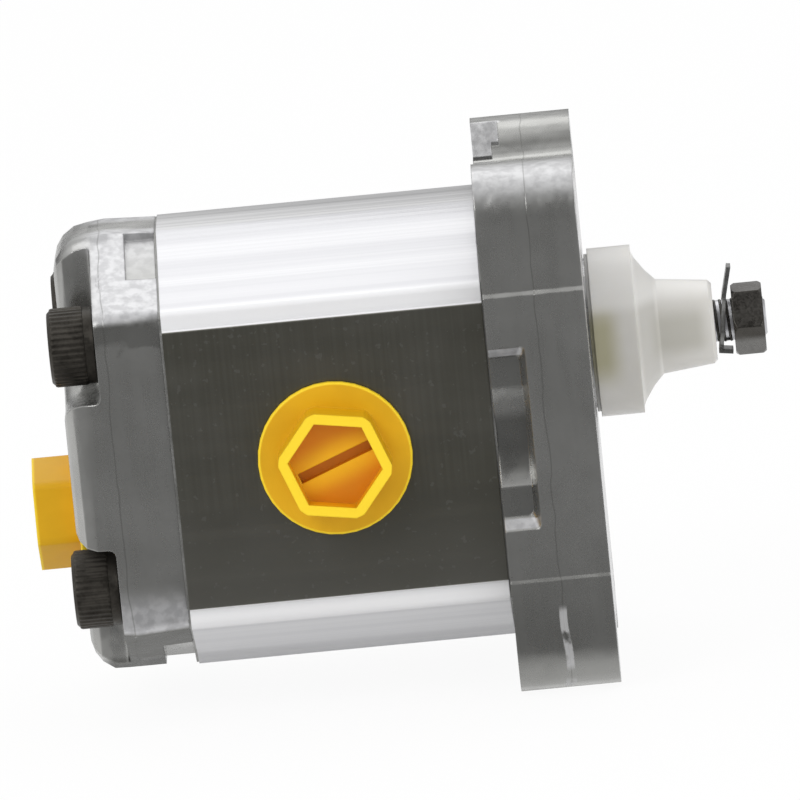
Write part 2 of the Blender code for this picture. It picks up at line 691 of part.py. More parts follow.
def lobe_notch_cutter(y_side, z_side, start_z, length):
    """Step in the inner flank of a lobe, from start_z outwards and open to the body."""
    ys = sorted((y_side * DIP_FLOOR_Y, y_side * (LOBE_FLANK_Y + LOBE_NOTCH_DEPTH)))
    zs = sorted((z_side * start_z, z_side * (FLANGE_HALF_HEIGHT + CUT_REACH)))
    return box("notch", (FLANGE_REAR - CUT_REACH, ys[0], zs[0] - FLANGE_DROP),
               (FLANGE_REAR + length, ys[1], zs[1] - FLANGE_DROP))


def make_flange():
    flange = prism("mounting_flange", shifted(rounded(flange_corners()), -FLANGE_DROP), FLANGE_REAR, 0.0)
    relief_radius = PILOT_RADIUS + PILOT_RELIEF_WIDTH
    relief = spool("relief", [(-PILOT_RELIEF_DEPTH, relief_radius), (CUT_REACH, relief_radius)], FINE_FACETS)
    combine(flange, relief)
    pilot = spool("pilot", [(-CUT_REACH, PILOT_RADIUS), (PILOT_HEIGHT - PILOT_CHAMFER, PILOT_RADIUS),
                            (PILOT_HEIGHT, PILOT_RADIUS - PILOT_CHAMFER)], FINE_FACETS)
    combine(flange, pilot, "UNION")
    through = (FLANGE_REAR - CUT_REACH, PILOT_HEIGHT + CUT_REACH)
    groove_radius = SEAL_RADIUS + CIRCLIP_BITE
    combine(flange, turned("seal_bore", [
        (through[0], 0.0), (through[0], BUSH_INNER_RADIUS + SEAT_GAP),
        (-SEAL_SEAT_DEPTH, BUSH_INNER_RADIUS + SEAT_GAP), (-SEAL_SEAT_DEPTH, SEAL_RADIUS),
        (CIRCLIP_X - SEAT_GAP, SEAL_RADIUS), (CIRCLIP_X - SEAT_GAP, groove_radius),
        (CIRCLIP_X + CIRCLIP_THICKNESS + SEAT_GAP, groove_radius),
        (CIRCLIP_X + CIRCLIP_THICKNESS + SEAT_GAP, SEAL_RADIUS),
        (through[1], SEAL_RADIUS), (through[1], 0.0)], INNER_FACETS))
    for y_side in (-1.0, 1.0):
        combine(flange, window_cutter(y_side))
        combine(flange, scoop_cutter(y_side))
        for z_side in (-1.0, 1.0):
            centre = (y_side * HOLE_Y, z_side * HOLE_Z - FLANGE_DROP)
            drill(flange, HOLE_RADIUS, FLANGE_REAR - CUT_REACH, CUT_REACH, ROUND_FACETS, centre)
            combine(flange, lobe_notch_cutter(y_side, z_side, DIP_FLOOR_Z, LOBE_NOTCH_LENGTH))
            combine(flange, lobe_notch_cutter(y_side, z_side, LOBE_NOTCH_TOP_Z, LOBE_NOTCH_TOP_LENGTH))
    for _, y, z in bolt_places():
        drill(flange, BOLT_HOLE_RADIUS, FLANGE_REAR - CUT_REACH, BOLT_END + SEAT_GAP, HOLE_FACETS, (y, z))
    for _, z in dowel_places():
        depth = DOWEL_HALF_LENGTH + SEAT_GAP
        drill(flange, DOWEL_RADIUS + SEAT_GAP, FLANGE_REAR - CUT_REACH, FLANGE_REAR + depth, HOLE_FACETS, (0.0, z))
    groove_x = (FLANGE_REAR - CUT_REACH, FLANGE_REAR + BODY_SEAL_DEPTH + SEAT_GAP)
    combine(flange, seal_ring("groove", BODY_SEAL_INNER - SEAT_GAP, BODY_SEAL_WIDTH + 2.0 * SEAT_GAP, *groove_x))
    finish_piece(flange, CAST)
    seal_x = (FLANGE_REAR, FLANGE_REAR + BODY_SEAL_DEPTH)
    finish_piece(seal_ring("front_body_seal", BODY_SEAL_INNER, BODY_SEAL_WIDTH, *seal_x), RUBBER)


def notch_cutter(y_side, z_side):
    """Corner of the cover that is open for a bolt head, with a fillet at its floor and a soft lip."""
    inner_y = BOLT_Y - NOTCH_RADIUS
    inner_z = BOLT_Z - NOTCH_RADIUS
    outer_y = SIDE_Y + 10.0 * CUT_REACH
    outer_z = BODY_HALF_HEIGHT + 10.0 * CUT_REACH
    corners = [(inner_y, inner_z, NOTCH_RADIUS), (outer_y, inner_z, 0.0),
               (outer_y, outer_z, 0.0), (inner_y, outer_z, 0.0)]
    height = BOLT_SEAT - COVER_REAR
    sections = [(0.0, -NOTCH_FILLET)]
    sections += [(NOTCH_FILLET * (1.0 - math.cos(a)), NOTCH_FILLET * (math.sin(a) - 1.0))
                 for a in (math.pi / 6.0, math.pi / 3.0, math.pi / 2.0)]
    sections += [(height - NOTCH_LIP * (1.0 - math.sin(a)), NOTCH_LIP * (1.0 - math.cos(a)))
                 for a in (0.0, math.pi / 6.0, math.pi / 3.2, math.pi / 2.4, math.pi / 2.05)]
    sections.append((height + CUT_REACH, sections[-1][1] + NOTCH_LIP * 0.1))
    rings = []
    for drop, grow in sections:
        outline = rounded(grown(corners, grow), 8)
        rings.append([(BOLT_SEAT - drop, y_side * y, z_side * z + BODY_CENTRE_Z) for y, z in outline])
    return skin("notch", rings)


def upper_pocket_cutter(y_side):
    """Moulding pocket on an upper shoulder of the cover, open to the body."""
    corners = [(POCKET_INNER_Y, shoulder_z(POCKET_INNER_Y) - POCKET_DEPTH),
               (POCKET_OUTER_Y, shoulder_z(POCKET_OUTER_Y) - POCKET_DEPTH),
               (POCKET_OUTER_Y, shoulder_z(POCKET_OUTER_Y) + CUT_REACH),
               (POCKET_INNER_Y, shoulder_z(POCKET_INNER_Y) + CUT_REACH)]
    outline = [(y_side * y, z + BODY_CENTRE_Z) for y, z in corners]
    return prism("pocket", outline, COVER_FRONT - POCKET_LENGTH, COVER_FRONT + CUT_REACH)


def lower_pocket_cutter():
    """The same pocket at the bottom of the cover, where it runs from shoulder to shoulder."""
    half = [(POCKET_INNER_Y, shoulder_z(POCKET_INNER_Y) - COVER_BOTTOM_RISE - POCKET_DEPTH),
            (POCKET_OUTER_Y, shoulder_z(POCKET_OUTER_Y) - POCKET_DEPTH),
            (POCKET_OUTER_Y, BODY_HALF_HEIGHT + CUT_REACH)]
    corners = half + [(-y, z) for y, z in reversed(half)]
    outline = [(y, BODY_CENTRE_Z - z) for y, z in corners]
    return prism("pocket", outline, COVER_FRONT - POCKET_LENGTH, COVER_FRONT + CUT_REACH)


def make_cover():
    rings = []
    straight = COVER_THICKNESS - COVER_ROUND
    sections = [(0.0, -COVER_DRAFT), (COVER_PARTING_DEPTH, COVER_DRAFT),
                (COVER_PARTING_DEPTH + COVER_PARTING_BAND, 0.0), (straight, -0.5 * COVER_DRAFT)]
    sections += [(straight + COVER_ROUND * math.sin(a), COVER_ROUND * (math.cos(a) - 1.0) - 0.5 * COVER_DRAFT)
                 for a in (math.pi / 8.0, math.pi / 4.0, math.pi / 2.8, math.pi / 2.2, math.pi / 2.0)]
    bottom = BODY_CENTRE_Z - BODY_HALF_HEIGHT + COVER_BOTTOM_RISE
    for drop, grow in sections:
        outline = shifted(rounded(grown(cover_corners(), grow)), BODY_CENTRE_Z)
        rings.append([(COVER_FRONT - drop, y, max(z, bottom)) for y, z in outline])
    cover = skin("rear_cover", rings)
    combine(cover, lower_pocket_cutter())
    for y_side in (-1.0, 1.0):
        combine(cover, upper_pocket_cutter(y_side))
        for z_side in (-1.0, 1.0):
            combine(cover, notch_cutter(y_side, z_side))
    through = (COVER_REAR - CUT_REACH, COVER_FRONT + CUT_REACH)
    for _, y, z in bolt_places():
        drill(cover, BOLT_HOLE_RADIUS, *through, HOLE_FACETS, (y, z))
    for _, z in dowel_places():
        depth = DOWEL_HALF_LENGTH + SEAT_GAP
        drill(cover, DOWEL_RADIUS + SEAT_GAP, COVER_FRONT - depth, through[1], HOLE_FACETS, (0.0, z))
    slot = passage_outline(CHANNEL_RADIUS, (CHANNEL_Y, BODY_CENTRE_Z), (0.0, REAR_PORT_Z))
    combine(cover, prism("passage", slot, COVER_FRONT - REAR_SLOT_DEPTH, through[1]))
    seat_radius = PLUG_FLANGE_RADIUS + 2.0 * SEAT_GAP
    bore_end = COVER_FRONT - REAR_SLOT_DEPTH / 2.0
    combine(cover, turned("rear_port", [
        (through[0], 0.0), (through[0], seat_radius), (REAR_PORT_FACE, seat_radius),
        (REAR_PORT_FACE, PORT_BORE_RADIUS + PORT_CHAMFER), (REAR_PORT_FACE + PORT_CHAMFER, PORT_BORE_RADIUS),
        (bore_end, PORT_BORE_RADIUS), (bore_end, 0.0)], ROUND_FACETS, (0.0, REAR_PORT_Z)))
    groove_x = (COVER_FRONT - BODY_SEAL_DEPTH - SEAT_GAP, COVER_FRONT + CUT_REACH)
    combine(cover, seal_ring("groove", BODY_SEAL_INNER - SEAT_GAP, BODY_SEAL_WIDTH + 2.0 * SEAT_GAP, *groove_x))
    finish_piece(cover, CAST)
    seal_x = (COVER_FRONT - BODY_SEAL_DEPTH, COVER_FRONT)
    finish_piece(seal_ring("rear_body_seal", BODY_SEAL_INNER, BODY_SEAL_WIDTH, *seal_x), RUBBER)


def passage_outline(radius, start, end):
    """Slot with round ends between two points (y, z)."""
    along = Vector(end) - Vector(start)
    heading = math.atan2(along.y, along.x)
    points = []
    for centre, first in ((start, heading + math.pi / 2.0), (end, heading - math.pi / 2.0)):
        for step in range(9):
            angle = first + math.pi * step / 8.0
            points.append((centre[0] + radius * math.cos(angle), centre[1] + radius * math.sin(angle)))
    return points


def make_bolts():
    head_front = BOLT_SEAT - SEAT_GAP
    chamfer_radius = BOLT_HEAD_RADIUS - BOLT_HEAD_CHAMFER
    profile = [
        (BOLT_HEAD_REAR, 0.0), (BOLT_HEAD_REAR, chamfer_radius),
        (BOLT_HEAD_REAR + BOLT_HEAD_CHAMFER, BOLT_HEAD_RADIUS), (head_front, BOLT_HEAD_RADIUS),
        (head_front, BOLT_RADIUS), (BOLT_END - BOLT_HEAD_CHAMFER, BOLT_RADIUS),
        (BOLT_END, BOLT_RADIUS - BOLT_HEAD_CHAMFER), (BOLT_END, 0.0)]
    for name, y, z in bolt_places():
        bolt = turned(f"cover_bolt_{name}", profile, SMALL_FACETS)
        socket_end = BOLT_HEAD_REAR + BOLT_SOCKET_DEPTH
        combine(bolt, prism("socket", hexagon(BOLT_SOCKET_FLATS), BOLT_HEAD_REAR - CUT_REACH, socket_end))
        finish_piece(bolt, BLACK_STEEL, (0.0, y, z))


def make_dowels():
    for end, x in (("front", (FLANGE_REAR + BODY_FRONT) / 2.0), ("rear", (BODY_REAR + COVER_FRONT) / 2.0)):
        for name, z in dowel_places():
            half = DOWEL_HALF_LENGTH
            profile = [(-half, 0.0), (-half, DOWEL_RADIUS * 0.8), (-half + DOWEL_RADIUS * 0.2, DOWEL_RADIUS),
                       (half - DOWEL_RADIUS * 0.2, DOWEL_RADIUS), (half, DOWEL_RADIUS * 0.8), (half, 0.0)]
            pin = turned(f"{end}_dowel_{name}", profile, HOLE_FACETS)
            finish_piece(pin, STEEL, (x, 0.0, z))


def make_shaft_seal():
    rear = -SEAL_SEAT_DEPTH + SEAT_GAP
    front = rear + SEAL_WIDTH
    outer = SEAL_RADIUS - SEAT_GAP
    lip = JOURNAL_RADIUS + RUNNING_GAP
    case_inner = outer - SEAL_CASE_WALL
    lip_top = lip + SEAL_LIP_SHARE * (case_inner - lip)
    web_top = lip + SEAL_WEB_SHARE * (case_inner - lip)
    seal = turned("shaft_seal", [
        (rear, outer), (rear, case_inner), (front - 2.0 * SEAL_CASE_WALL, case_inner),
        (front - 2.0 * SEAL_CASE_WALL, web_top), (rear + SEAL_CASE_WALL, lip_top),
        (rear + SEAL_CASE_WALL, lip), (rear + 2.0 * SEAL_CASE_WALL, lip), (front, lip_top),
        (front, outer)], INNER_FACETS)
    finish_piece(seal, RUBBER)
    ring_outer = SEAL_RADIUS + CIRCLIP_BITE - SEAT_GAP
    ring_inner = ring_outer - CIRCLIP_WIDTH
    ends = (CIRCLIP_X, CIRCLIP_X + CIRCLIP_THICKNESS)
    ring = turned("seal_circlip", [(ends[0], ring_inner), (ends[0], ring_outer),
                                   (ends[1], ring_outer), (ends[1], ring_inner)], INNER_FACETS)
    half = CIRCLIP_MOUTH / 2.0
    combine(ring, box("mouth", (ends[0] - CUT_REACH, -half, -ring_outer - CUT_REACH), (ends[1] + CUT_REACH, half, 0.0)))
    finish_piece(ring, STEEL)


def make_key():
    finish_piece(key_solid("shaft_key", 0.0), STEEL)


def make_cap():
    hole = THREAD_RADIUS + SEAT_GAP
    wall = CAP_WALL
    cap = turned("shaft_cap", [
        (SEAT_GAP, CAP_BASE_INNER), (SEAT_GAP, CAP_BASE_RADIUS - CAP_LIP),
        (SEAT_GAP + CAP_LIP_LENGTH, CAP_BASE_RADIUS - CAP_LIP), (SEAT_GAP + CAP_LIP_LENGTH, CAP_BASE_RADIUS),
        (CAP_BASE_END, CAP_BASE_RADIUS), (CAP_BASE_END, CAP_BASE_RADIUS - CAP_BASE_LAND),
        (CAP_CONE_START, CAP_BASE_RADIUS - CAP_SHELF_WIDTH),
        (CAP_CONE_MIDDLE, CAP_NECK_RADIUS + CAP_CONE_FLARE), (CAP_CONE_END, CAP_NECK_RADIUS),
        (CAP_END - CAP_END_ROUND, CAP_END_RADIUS), (CAP_END, CAP_END_RADIUS - CAP_END_ROUND), (CAP_END, hole),
        (CAP_END - CAP_END_WALL, hole), (CAP_END - CAP_END_WALL, CAP_END_RADIUS - wall),
        (CAP_CONE_END - wall, CAP_NECK_RADIUS - wall), (CAP_BASE_END - wall, CAP_BASE_INNER),
    ], FINE_FACETS)
    finish_piece(cap, NATURAL_PLASTIC)


def make_tab_washer():
    """Washer that leans on the shaft thread, with a long tab above and a bent one below."""
    low, high = -TAB_WASHER_THICKNESS / 2.0, TAB_WASHER_THICKNESS / 2.0
    hole = (THREAD_RADIUS + SEAT_GAP + high * math.sin(TAB_WASHER_TILT)) / math.cos(TAB_WASHER_TILT)
    half = TAB_WIDTH / 2.0
    washer = turned("tab_washer", [(low, hole), (low, TAB_WASHER_RADIUS), (high, TAB_WASHER_RADIUS), (high, hole)],
                    ROUND_FACETS)
    root = hole + (TAB_WASHER_RADIUS - hole) * 0.3
    tab = [(low, root), (high, root), (high, TAB_WASHER_RADIUS), (high + UPPER_TAB_LEAN, UPPER_TAB_REACH),
           (low + UPPER_TAB_LEAN, UPPER_TAB_REACH), (low, TAB_WASHER_RADIUS)]
    combine(washer, skin("upper_tab", [[(x, y, z) for x, z in tab] for y in (-half, half)]), "UNION")
    bent = [(low, -root), (low, -LOWER_TAB_REACH), (low + LOWER_TAB_LENGTH, -LOWER_TAB_REACH),
            (low + LOWER_TAB_LENGTH, -LOWER_TAB_REACH + TAB_WASHER_THICKNESS),
            (high, -LOWER_TAB_REACH + TAB_WASHER_THICKNESS), (high, -root)]
    combine(washer, skin("lower_tab", [[(x, y, z) for x, z in bent] for y in (-half, half)]), "UNION")
    washer.data.transform(Matrix.Rotation(TAB_WASHER_TILT, 4, "Y"))
    finish_piece(washer, ZINC_STEEL, (TAB_WASHER_X, 0.0, 0.0))


def make_nut():
    low, high = NUT_X, NUT_X + NUT_HEIGHT
    corner = NUT_FLATS / math.sqrt(3.0)
    nut = prism("shaft_nut", hexagon(NUT_FLATS, math.pi - NUT_TURN), low, high)
    combine(nut, turned("chamfer", [
        (low, 0.0), (low, corner - NUT_CHAMFER), (low + NUT_CHAMFER, corner), (high - NUT_CHAMFER, corner),
        (high, corner - NUT_CHAMFER), (high, 0.0)], FINE_FACETS), "INTERSECT")
    drill(nut, THREAD_RADIUS + SEAT_GAP, low - CUT_REACH, high + CUT_REACH, ROUND_FACETS)
    finish_piece(nut, BLACK_STEEL)


def plug_solid(name, turn):
    """Hexagon-headed port plug about the X axis, seated at x = 0 and pointing outwards along +X."""
    flange_top = PLUG_FLANGE_THICKNESS
    stem = PORT_BORE_RADIUS - SEAT_GAP
    plug = turned(name, [
        (-PLUG_STEM_LENGTH, 0.0), (-PLUG_STEM_LENGTH, stem - PLUG_FLANGE_EDGE),
        (-PLUG_STEM_LENGTH + PLUG_FLANGE_EDGE, stem), (0.0, stem), (0.0, PLUG_FLANGE_RADIUS),
        (flange_top - PLUG_FLANGE_EDGE, PLUG_FLANGE_RADIUS),
        (flange_top, PLUG_FLANGE_RADIUS - PLUG_FLANGE_EDGE), (flange_top, 0.0)], ROUND_FACETS)
    top = flange_top + PLUG_HEX_HEIGHT
    corner = PLUG_HEX_FLATS / math.sqrt(3.0) - PLUG_HEX_CORNER_CUT
    head = prism("hex", hexagon(PLUG_HEX_FLATS, turn), 0.5 * flange_top, top)
    combine(head, rod("corners", corner, -CUT_REACH, top + CUT_REACH, FINE_FACETS), "INTERSECT")
    combine(plug, head, "UNION")
    inner_flats = PLUG_HEX_FLATS - 2.0 * PLUG_HEX_WALL
    floor = top - PLUG_RECESS_DEPTH
    combine(plug, prism("recess", hexagon(inner_flats, turn), floor, top + CUT_REACH))
    slot = box("slot", (floor - PLUG_SLOT_DEPTH, -inner_flats / 2.0 + PLUG_FLANGE_EDGE, -PLUG_SLOT_WIDTH / 2.0),
               (floor + CUT_REACH, inner_flats / 2.0 - PLUG_FLANGE_EDGE, PLUG_SLOT_WIDTH / 2.0))
    slot.data.transform(Matrix.Rotation(turn + math.pi / 6.0, 4, "X"))
    combine(plug, slot)
    hollow = stem - PLUG_STEM_WALL
    return drill(plug, hollow, -PLUG_STEM_LENGTH - CUT_REACH, floor - 2.0 * PLUG_SLOT_DEPTH, ROUND_FACETS)


def make_plugs():
    side = plug_solid("side_port_plug", -SIDE_PLUG_TURN)
    side.data.transform(Matrix.Rotation(-math.pi / 2.0, 4, "Z"))
    finish_piece(side, YELLOW_PLASTIC, (PORT_X, -PORT_FACE_Y - SEAT_GAP, BODY_CENTRE_Z))
    rear = plug_solid("rear_port_plug", math.pi / 6.0 - REAR_PLUG_TURN)
    rear.data.transform(Matrix.Rotation(math.pi, 4, "Z"))
    finish_piece(rear, YELLOW_PLASTIC, (REAR_PORT_FACE - SEAT_GAP, 0.0, REAR_PORT_Z))


def main():
    clear_scene()
    make_flange()
    make_body()
    make_cover()
    make_drive_shaft()
    make_driven_gear()
    make_block("front", BODY_FRONT, GEAR_FRONT + RUNNING_GAP)
    make_block("rear", BODY_REAR, GEAR_REAR - RUNNING_GAP)
    make_shaft_seal()
    make_key()
    make_cap()
    make_tab_washer()
    make_nut()
    make_plugs()
    make_bolts()
    make_dowels()


main()
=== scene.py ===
"""Looks of the gear pump: finishes, bolt knurls, shaft thread, joint bands, studio and camera."""
import math

import bmesh
import bpy
from mathutils import Matrix, Vector


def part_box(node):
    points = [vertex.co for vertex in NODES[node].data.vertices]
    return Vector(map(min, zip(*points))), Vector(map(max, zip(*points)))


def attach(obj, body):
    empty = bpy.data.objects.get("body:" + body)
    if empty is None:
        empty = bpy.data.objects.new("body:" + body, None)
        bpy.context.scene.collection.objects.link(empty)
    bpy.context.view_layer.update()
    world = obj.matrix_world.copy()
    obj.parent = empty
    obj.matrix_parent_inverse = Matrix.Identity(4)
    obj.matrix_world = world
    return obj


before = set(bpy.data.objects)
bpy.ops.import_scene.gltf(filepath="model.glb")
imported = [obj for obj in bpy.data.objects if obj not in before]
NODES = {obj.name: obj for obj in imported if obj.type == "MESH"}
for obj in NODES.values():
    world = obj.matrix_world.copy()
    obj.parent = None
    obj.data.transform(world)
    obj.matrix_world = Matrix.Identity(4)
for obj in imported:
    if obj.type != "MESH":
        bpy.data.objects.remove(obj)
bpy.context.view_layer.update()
MM = 0.001


def mm(*values):
    """Lengths in metres of values in millimetres."""
    return tuple(value * MM for value in values)


def corners(node):
    """Lowest corner, highest corner and middle of a CAD node."""
    low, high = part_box(node)
    return low, high, (low + high) / 2.0


BODY_LOW, BODY_HIGH, BODY_MIDDLE = corners("pump_body")
FLANGE_LOW, _, FLANGE_MIDDLE = corners("mounting_flange")
_, COVER_HIGH, _ = corners("rear_cover")
SIDE_PLUG_LOW, _, SIDE_PLUG_MIDDLE = corners("side_port_plug")
REAR_PLUG_LOW, _, REAR_PLUG_MIDDLE = corners("rear_port_plug")

# Sizes of the solids that their finishes follow
SHOULDER_TILT = math.radians(23.6)
SHOULDER_Z = 26.9 * MM
BODY_TOP_Y = 7.8 * MM
NOTCH_FLOOR_Y = 20.8 * MM
LOBE_ROOT_Z = 30.0 * MM
RECESS_DEPTH = 4.2 * MM
COVER_PARTING_X = -80.8 * MM
FLANGE_PARTING_X = -8.4 * MM
THREAD_START_X = 20.2 * MM
THREAD_CHAMFER = 0.7 * MM
THREAD_RADIUS = 3.5 * MM


# Shading of the solids, whose facets stay as they are
SMOOTH_ANGLE = math.radians(32.0)
SAME_PLACE = 0.001 * MM


def shade_group():
    """Geometry nodes that join the triangles and shade them smooth up to an angle."""
    group = bpy.data.node_groups.new("shade_by_angle", "GeometryNodeTree")
    group.interface.new_socket("Geometry", in_out="INPUT", socket_type="NodeSocketGeometry")
    group.interface.new_socket("Geometry", in_out="OUTPUT", socket_type="NodeSocketGeometry")
    merge = group.nodes.new("GeometryNodeMergeByDistance")
    merge.inputs["Distance"].default_value = SAME_PLACE
    bare = group.nodes.new("GeometryNodeRemoveAttribute")
    bare.inputs["Name"].default_value = "custom_normal"
    faces = group.nodes.new("GeometryNodeSetShadeSmooth")
    faces.domain = "FACE"
    edges = group.nodes.new("GeometryNodeSetShadeSmooth")
    edges.domain = "EDGE"
    edges.inputs["Shade Smooth"].default_value = False
    steep = group.nodes.new("FunctionNodeCompare")
    steep.operation = "GREATER_THAN"
    steep.inputs[1].default_value = SMOOTH_ANGLE
    angle = group.nodes.new("GeometryNodeInputMeshEdgeAngle")
    group.links.new(angle.outputs["Unsigned Angle"], steep.inputs[0])
    group.links.new(steep.outputs[0], edges.inputs["Selection"])
    chain = [group.nodes.new("NodeGroupInput"), merge, bare, faces, edges,
             group.nodes.new("NodeGroupOutput")]
    for first, second in zip(chain, chain[1:]):
        group.links.new(first.outputs[0], second.inputs[0])
    return group


def shade_smooth(pieces):
    """Smooth shading by angle for every piece, with its flat faces kept flat."""
    group = shade_group()
    for piece in pieces:
        piece.modifiers.new("shade_by_angle", "NODES").node_group = group
        weighted = piece.modifiers.new("flat_faces_stay_flat", "WEIGHTED_NORMAL")
        weighted.keep_sharp = True


shade_smooth(NODES.values())


# Node trees
BEVEL_SAMPLES = 6
MIX_FACTOR, MIX_FIRST, MIX_SECOND = 0, 6, 7
MIX_COLOUR = 2


def feed(tree, socket, value):
    """Link the value to a socket, or set the socket where it is no link."""
    if isinstance(value, bpy.types.NodeSocket):
        tree.links.new(value, socket)
    else:
        socket.default_value = value


def calculated(tree, operation, *values):
    """Result of a math node."""
    node = tree.nodes.new("ShaderNodeMath")
    node.operation = operation
    for socket, value in zip(node.inputs, values):
        feed(tree, socket, value)
    return node.outputs[0]


def smooth_step(tree, value, low, high, start=0.0, end=1.0):
    """Smooth step of value from low to high, giving start to end."""
    node = tree.nodes.new("ShaderNodeMapRange")
    node.interpolation_type = "SMOOTHSTEP"
    for name, setting in (("Value", value), ("From Min", low), ("From Max", high),
                          ("To Min", start), ("To Max", end)):
        feed(tree, node.inputs[name], setting)
    return node.outputs[0]


def coordinates(tree, kind):
    """A texture coordinate, and its x, y and z."""
    place = tree.nodes.new("ShaderNodeTexCoord").outputs[kind]
    split = tree.nodes.new("ShaderNodeSeparateXYZ")
    tree.links.new(place, split.inputs[0])
    return (place, *split.outputs)


class Surface:
    """A Principled material with helpers that add its texture nodes."""

    def __init__(self, name, colour, metallic, roughness):
        self.material = bpy.data.materials.new(name)
        self.material.use_nodes = True
        self.tree = self.material.node_tree
        self.shader = self.tree.nodes["Principled BSDF"]
        self.shader.inputs["Base Color"].default_value = (*colour, 1.0)
        self.shader.inputs["Metallic"].default_value = metallic
        self.shader.inputs["Roughness"].default_value = roughness
        self.place, self.x, self.y, self.z = coordinates(self.tree, "Object")

    def feed(self, socket, value):
        feed(self.tree, socket, value)

    def math(self, operation, *values):
        return calculated(self.tree, operation, *values)

    def product(self, total, *others):
        """Product of masks and shares."""
        for other in others:
            total = self.math("MULTIPLY", total, other)
        return total

    def highest(self, total, *others):
        """Highest of some masks."""
        for other in others:
            total = self.math("MAXIMUM", total, other)
        return total

    def sum(self, *terms):
        """Sum of (weight, value) terms."""
        total = 0.0
        for weight, value in terms:
            total = self.math("MULTIPLY_ADD", value, weight, total)
        return total

    def ramp(self, value, low, high, start=0.0, end=1.0):
        """Smooth step of value from low to high, giving start to end."""
        return smooth_step(self.tree, value, low, high, start, end)

    def fall(self, value, low, high, start=1.0):
        """Smooth step of value from low to high, giving start to zero."""
        return self.ramp(value, low, high, start, 0.0)

    def band(self, value, low, high, soft):
        """One between low and high, zero outside."""
        rise = self.ramp(value, low - soft, low + soft)
        return self.product(rise, self.fall(value, high - soft, high + soft))

    def noise(self, scale, detail=4.0, stretch=(1.0, 1.0, 1.0), low=0.35, high=0.65):
        """Noise of so many cells per metre, spread over zero to one."""
        mapping = self.tree.nodes.new("ShaderNodeMapping")
        mapping.inputs["Scale"].default_value = stretch
        self.feed(mapping.inputs["Vector"], self.place)
        node = self.tree.nodes.new("ShaderNodeTexNoise")
        node.inputs["Scale"].default_value = scale
        node.inputs["Detail"].default_value = detail
        self.feed(node.inputs["Vector"], mapping.outputs[0])
        return self.ramp(node.outputs[0], low, high)

    def radius_about(self, first, second, centre):
        """Distance from an axis, from two coordinates and where the axis crosses them."""
        across = self.math("SUBTRACT", first, centre[0])
        along = self.math("SUBTRACT", second, centre[1])
        total = self.math("ADD", self.product(across, across), self.product(along, along))
        return self.math("SQRT", total)

    def mix(self, factor, first, second):
        """Colour between the first and the second."""
        node = self.tree.nodes.new("ShaderNodeMix")
        node.data_type = "RGBA"
        self.feed(node.inputs[MIX_FACTOR], factor)
        for index, colour in ((MIX_FIRST, first), (MIX_SECOND, second)):
            self.feed(node.inputs[index], (*colour, 1.0) if isinstance(colour, tuple) else colour)
        return node.outputs[MIX_COLOUR]

    def layers(self, base, *coats):
        """Colour of a base under coats, each given as (mask, colour)."""
        for mask, colour in coats:
            base = self.mix(mask, base, colour)
        return base

    def relief(self, height, distance, edge=0.0):
        """Bump of the height, over edges softened by a radius."""
        bump = self.tree.nodes.new("ShaderNodeBump")
        bump.inputs["Strength"].default_value = 1.0
        bump.inputs["Distance"].default_value = distance
        self.feed(bump.inputs["Height"], height)
        if edge > 0.0:
            bevel = self.tree.nodes.new("ShaderNodeBevel")
            bevel.samples = BEVEL_SAMPLES
            bevel.inputs["Radius"].default_value = edge
            self.feed(bump.inputs["Normal"], bevel.outputs[0])
        self.feed(self.shader.inputs["Normal"], bump.outputs[0])

    def colour(self, value):
        self.feed(self.shader.inputs["Base Color"], value)

    def metallic(self, value):
        self.feed(self.shader.inputs["Metallic"], value)

    def roughness(self, value):
        self.feed(self.shader.inputs["Roughness"], value)


# Castings
# Pale skin of the trimmed flash, also the brightest tone of the painted highlight
TRIMMED_SKIN_AND_HIGHLIGHT = (0.60, 0.60, 0.61)
LINE_WANDER = 0.50 * MM
LINE_HALF_WIDTH = 0.10 * MM
LINE_SOFTNESS = 0.07 * MM
MARK_END_SOFTNESS = 0.8 * MM
MARK_SIDE_SOFTNESS = 0.12 * MM
MACHINED_X = mm(-0.12, -0.02)
CAST_RELIEF = 0.07 * MM
CAST_EDGE = 0.40 * MM


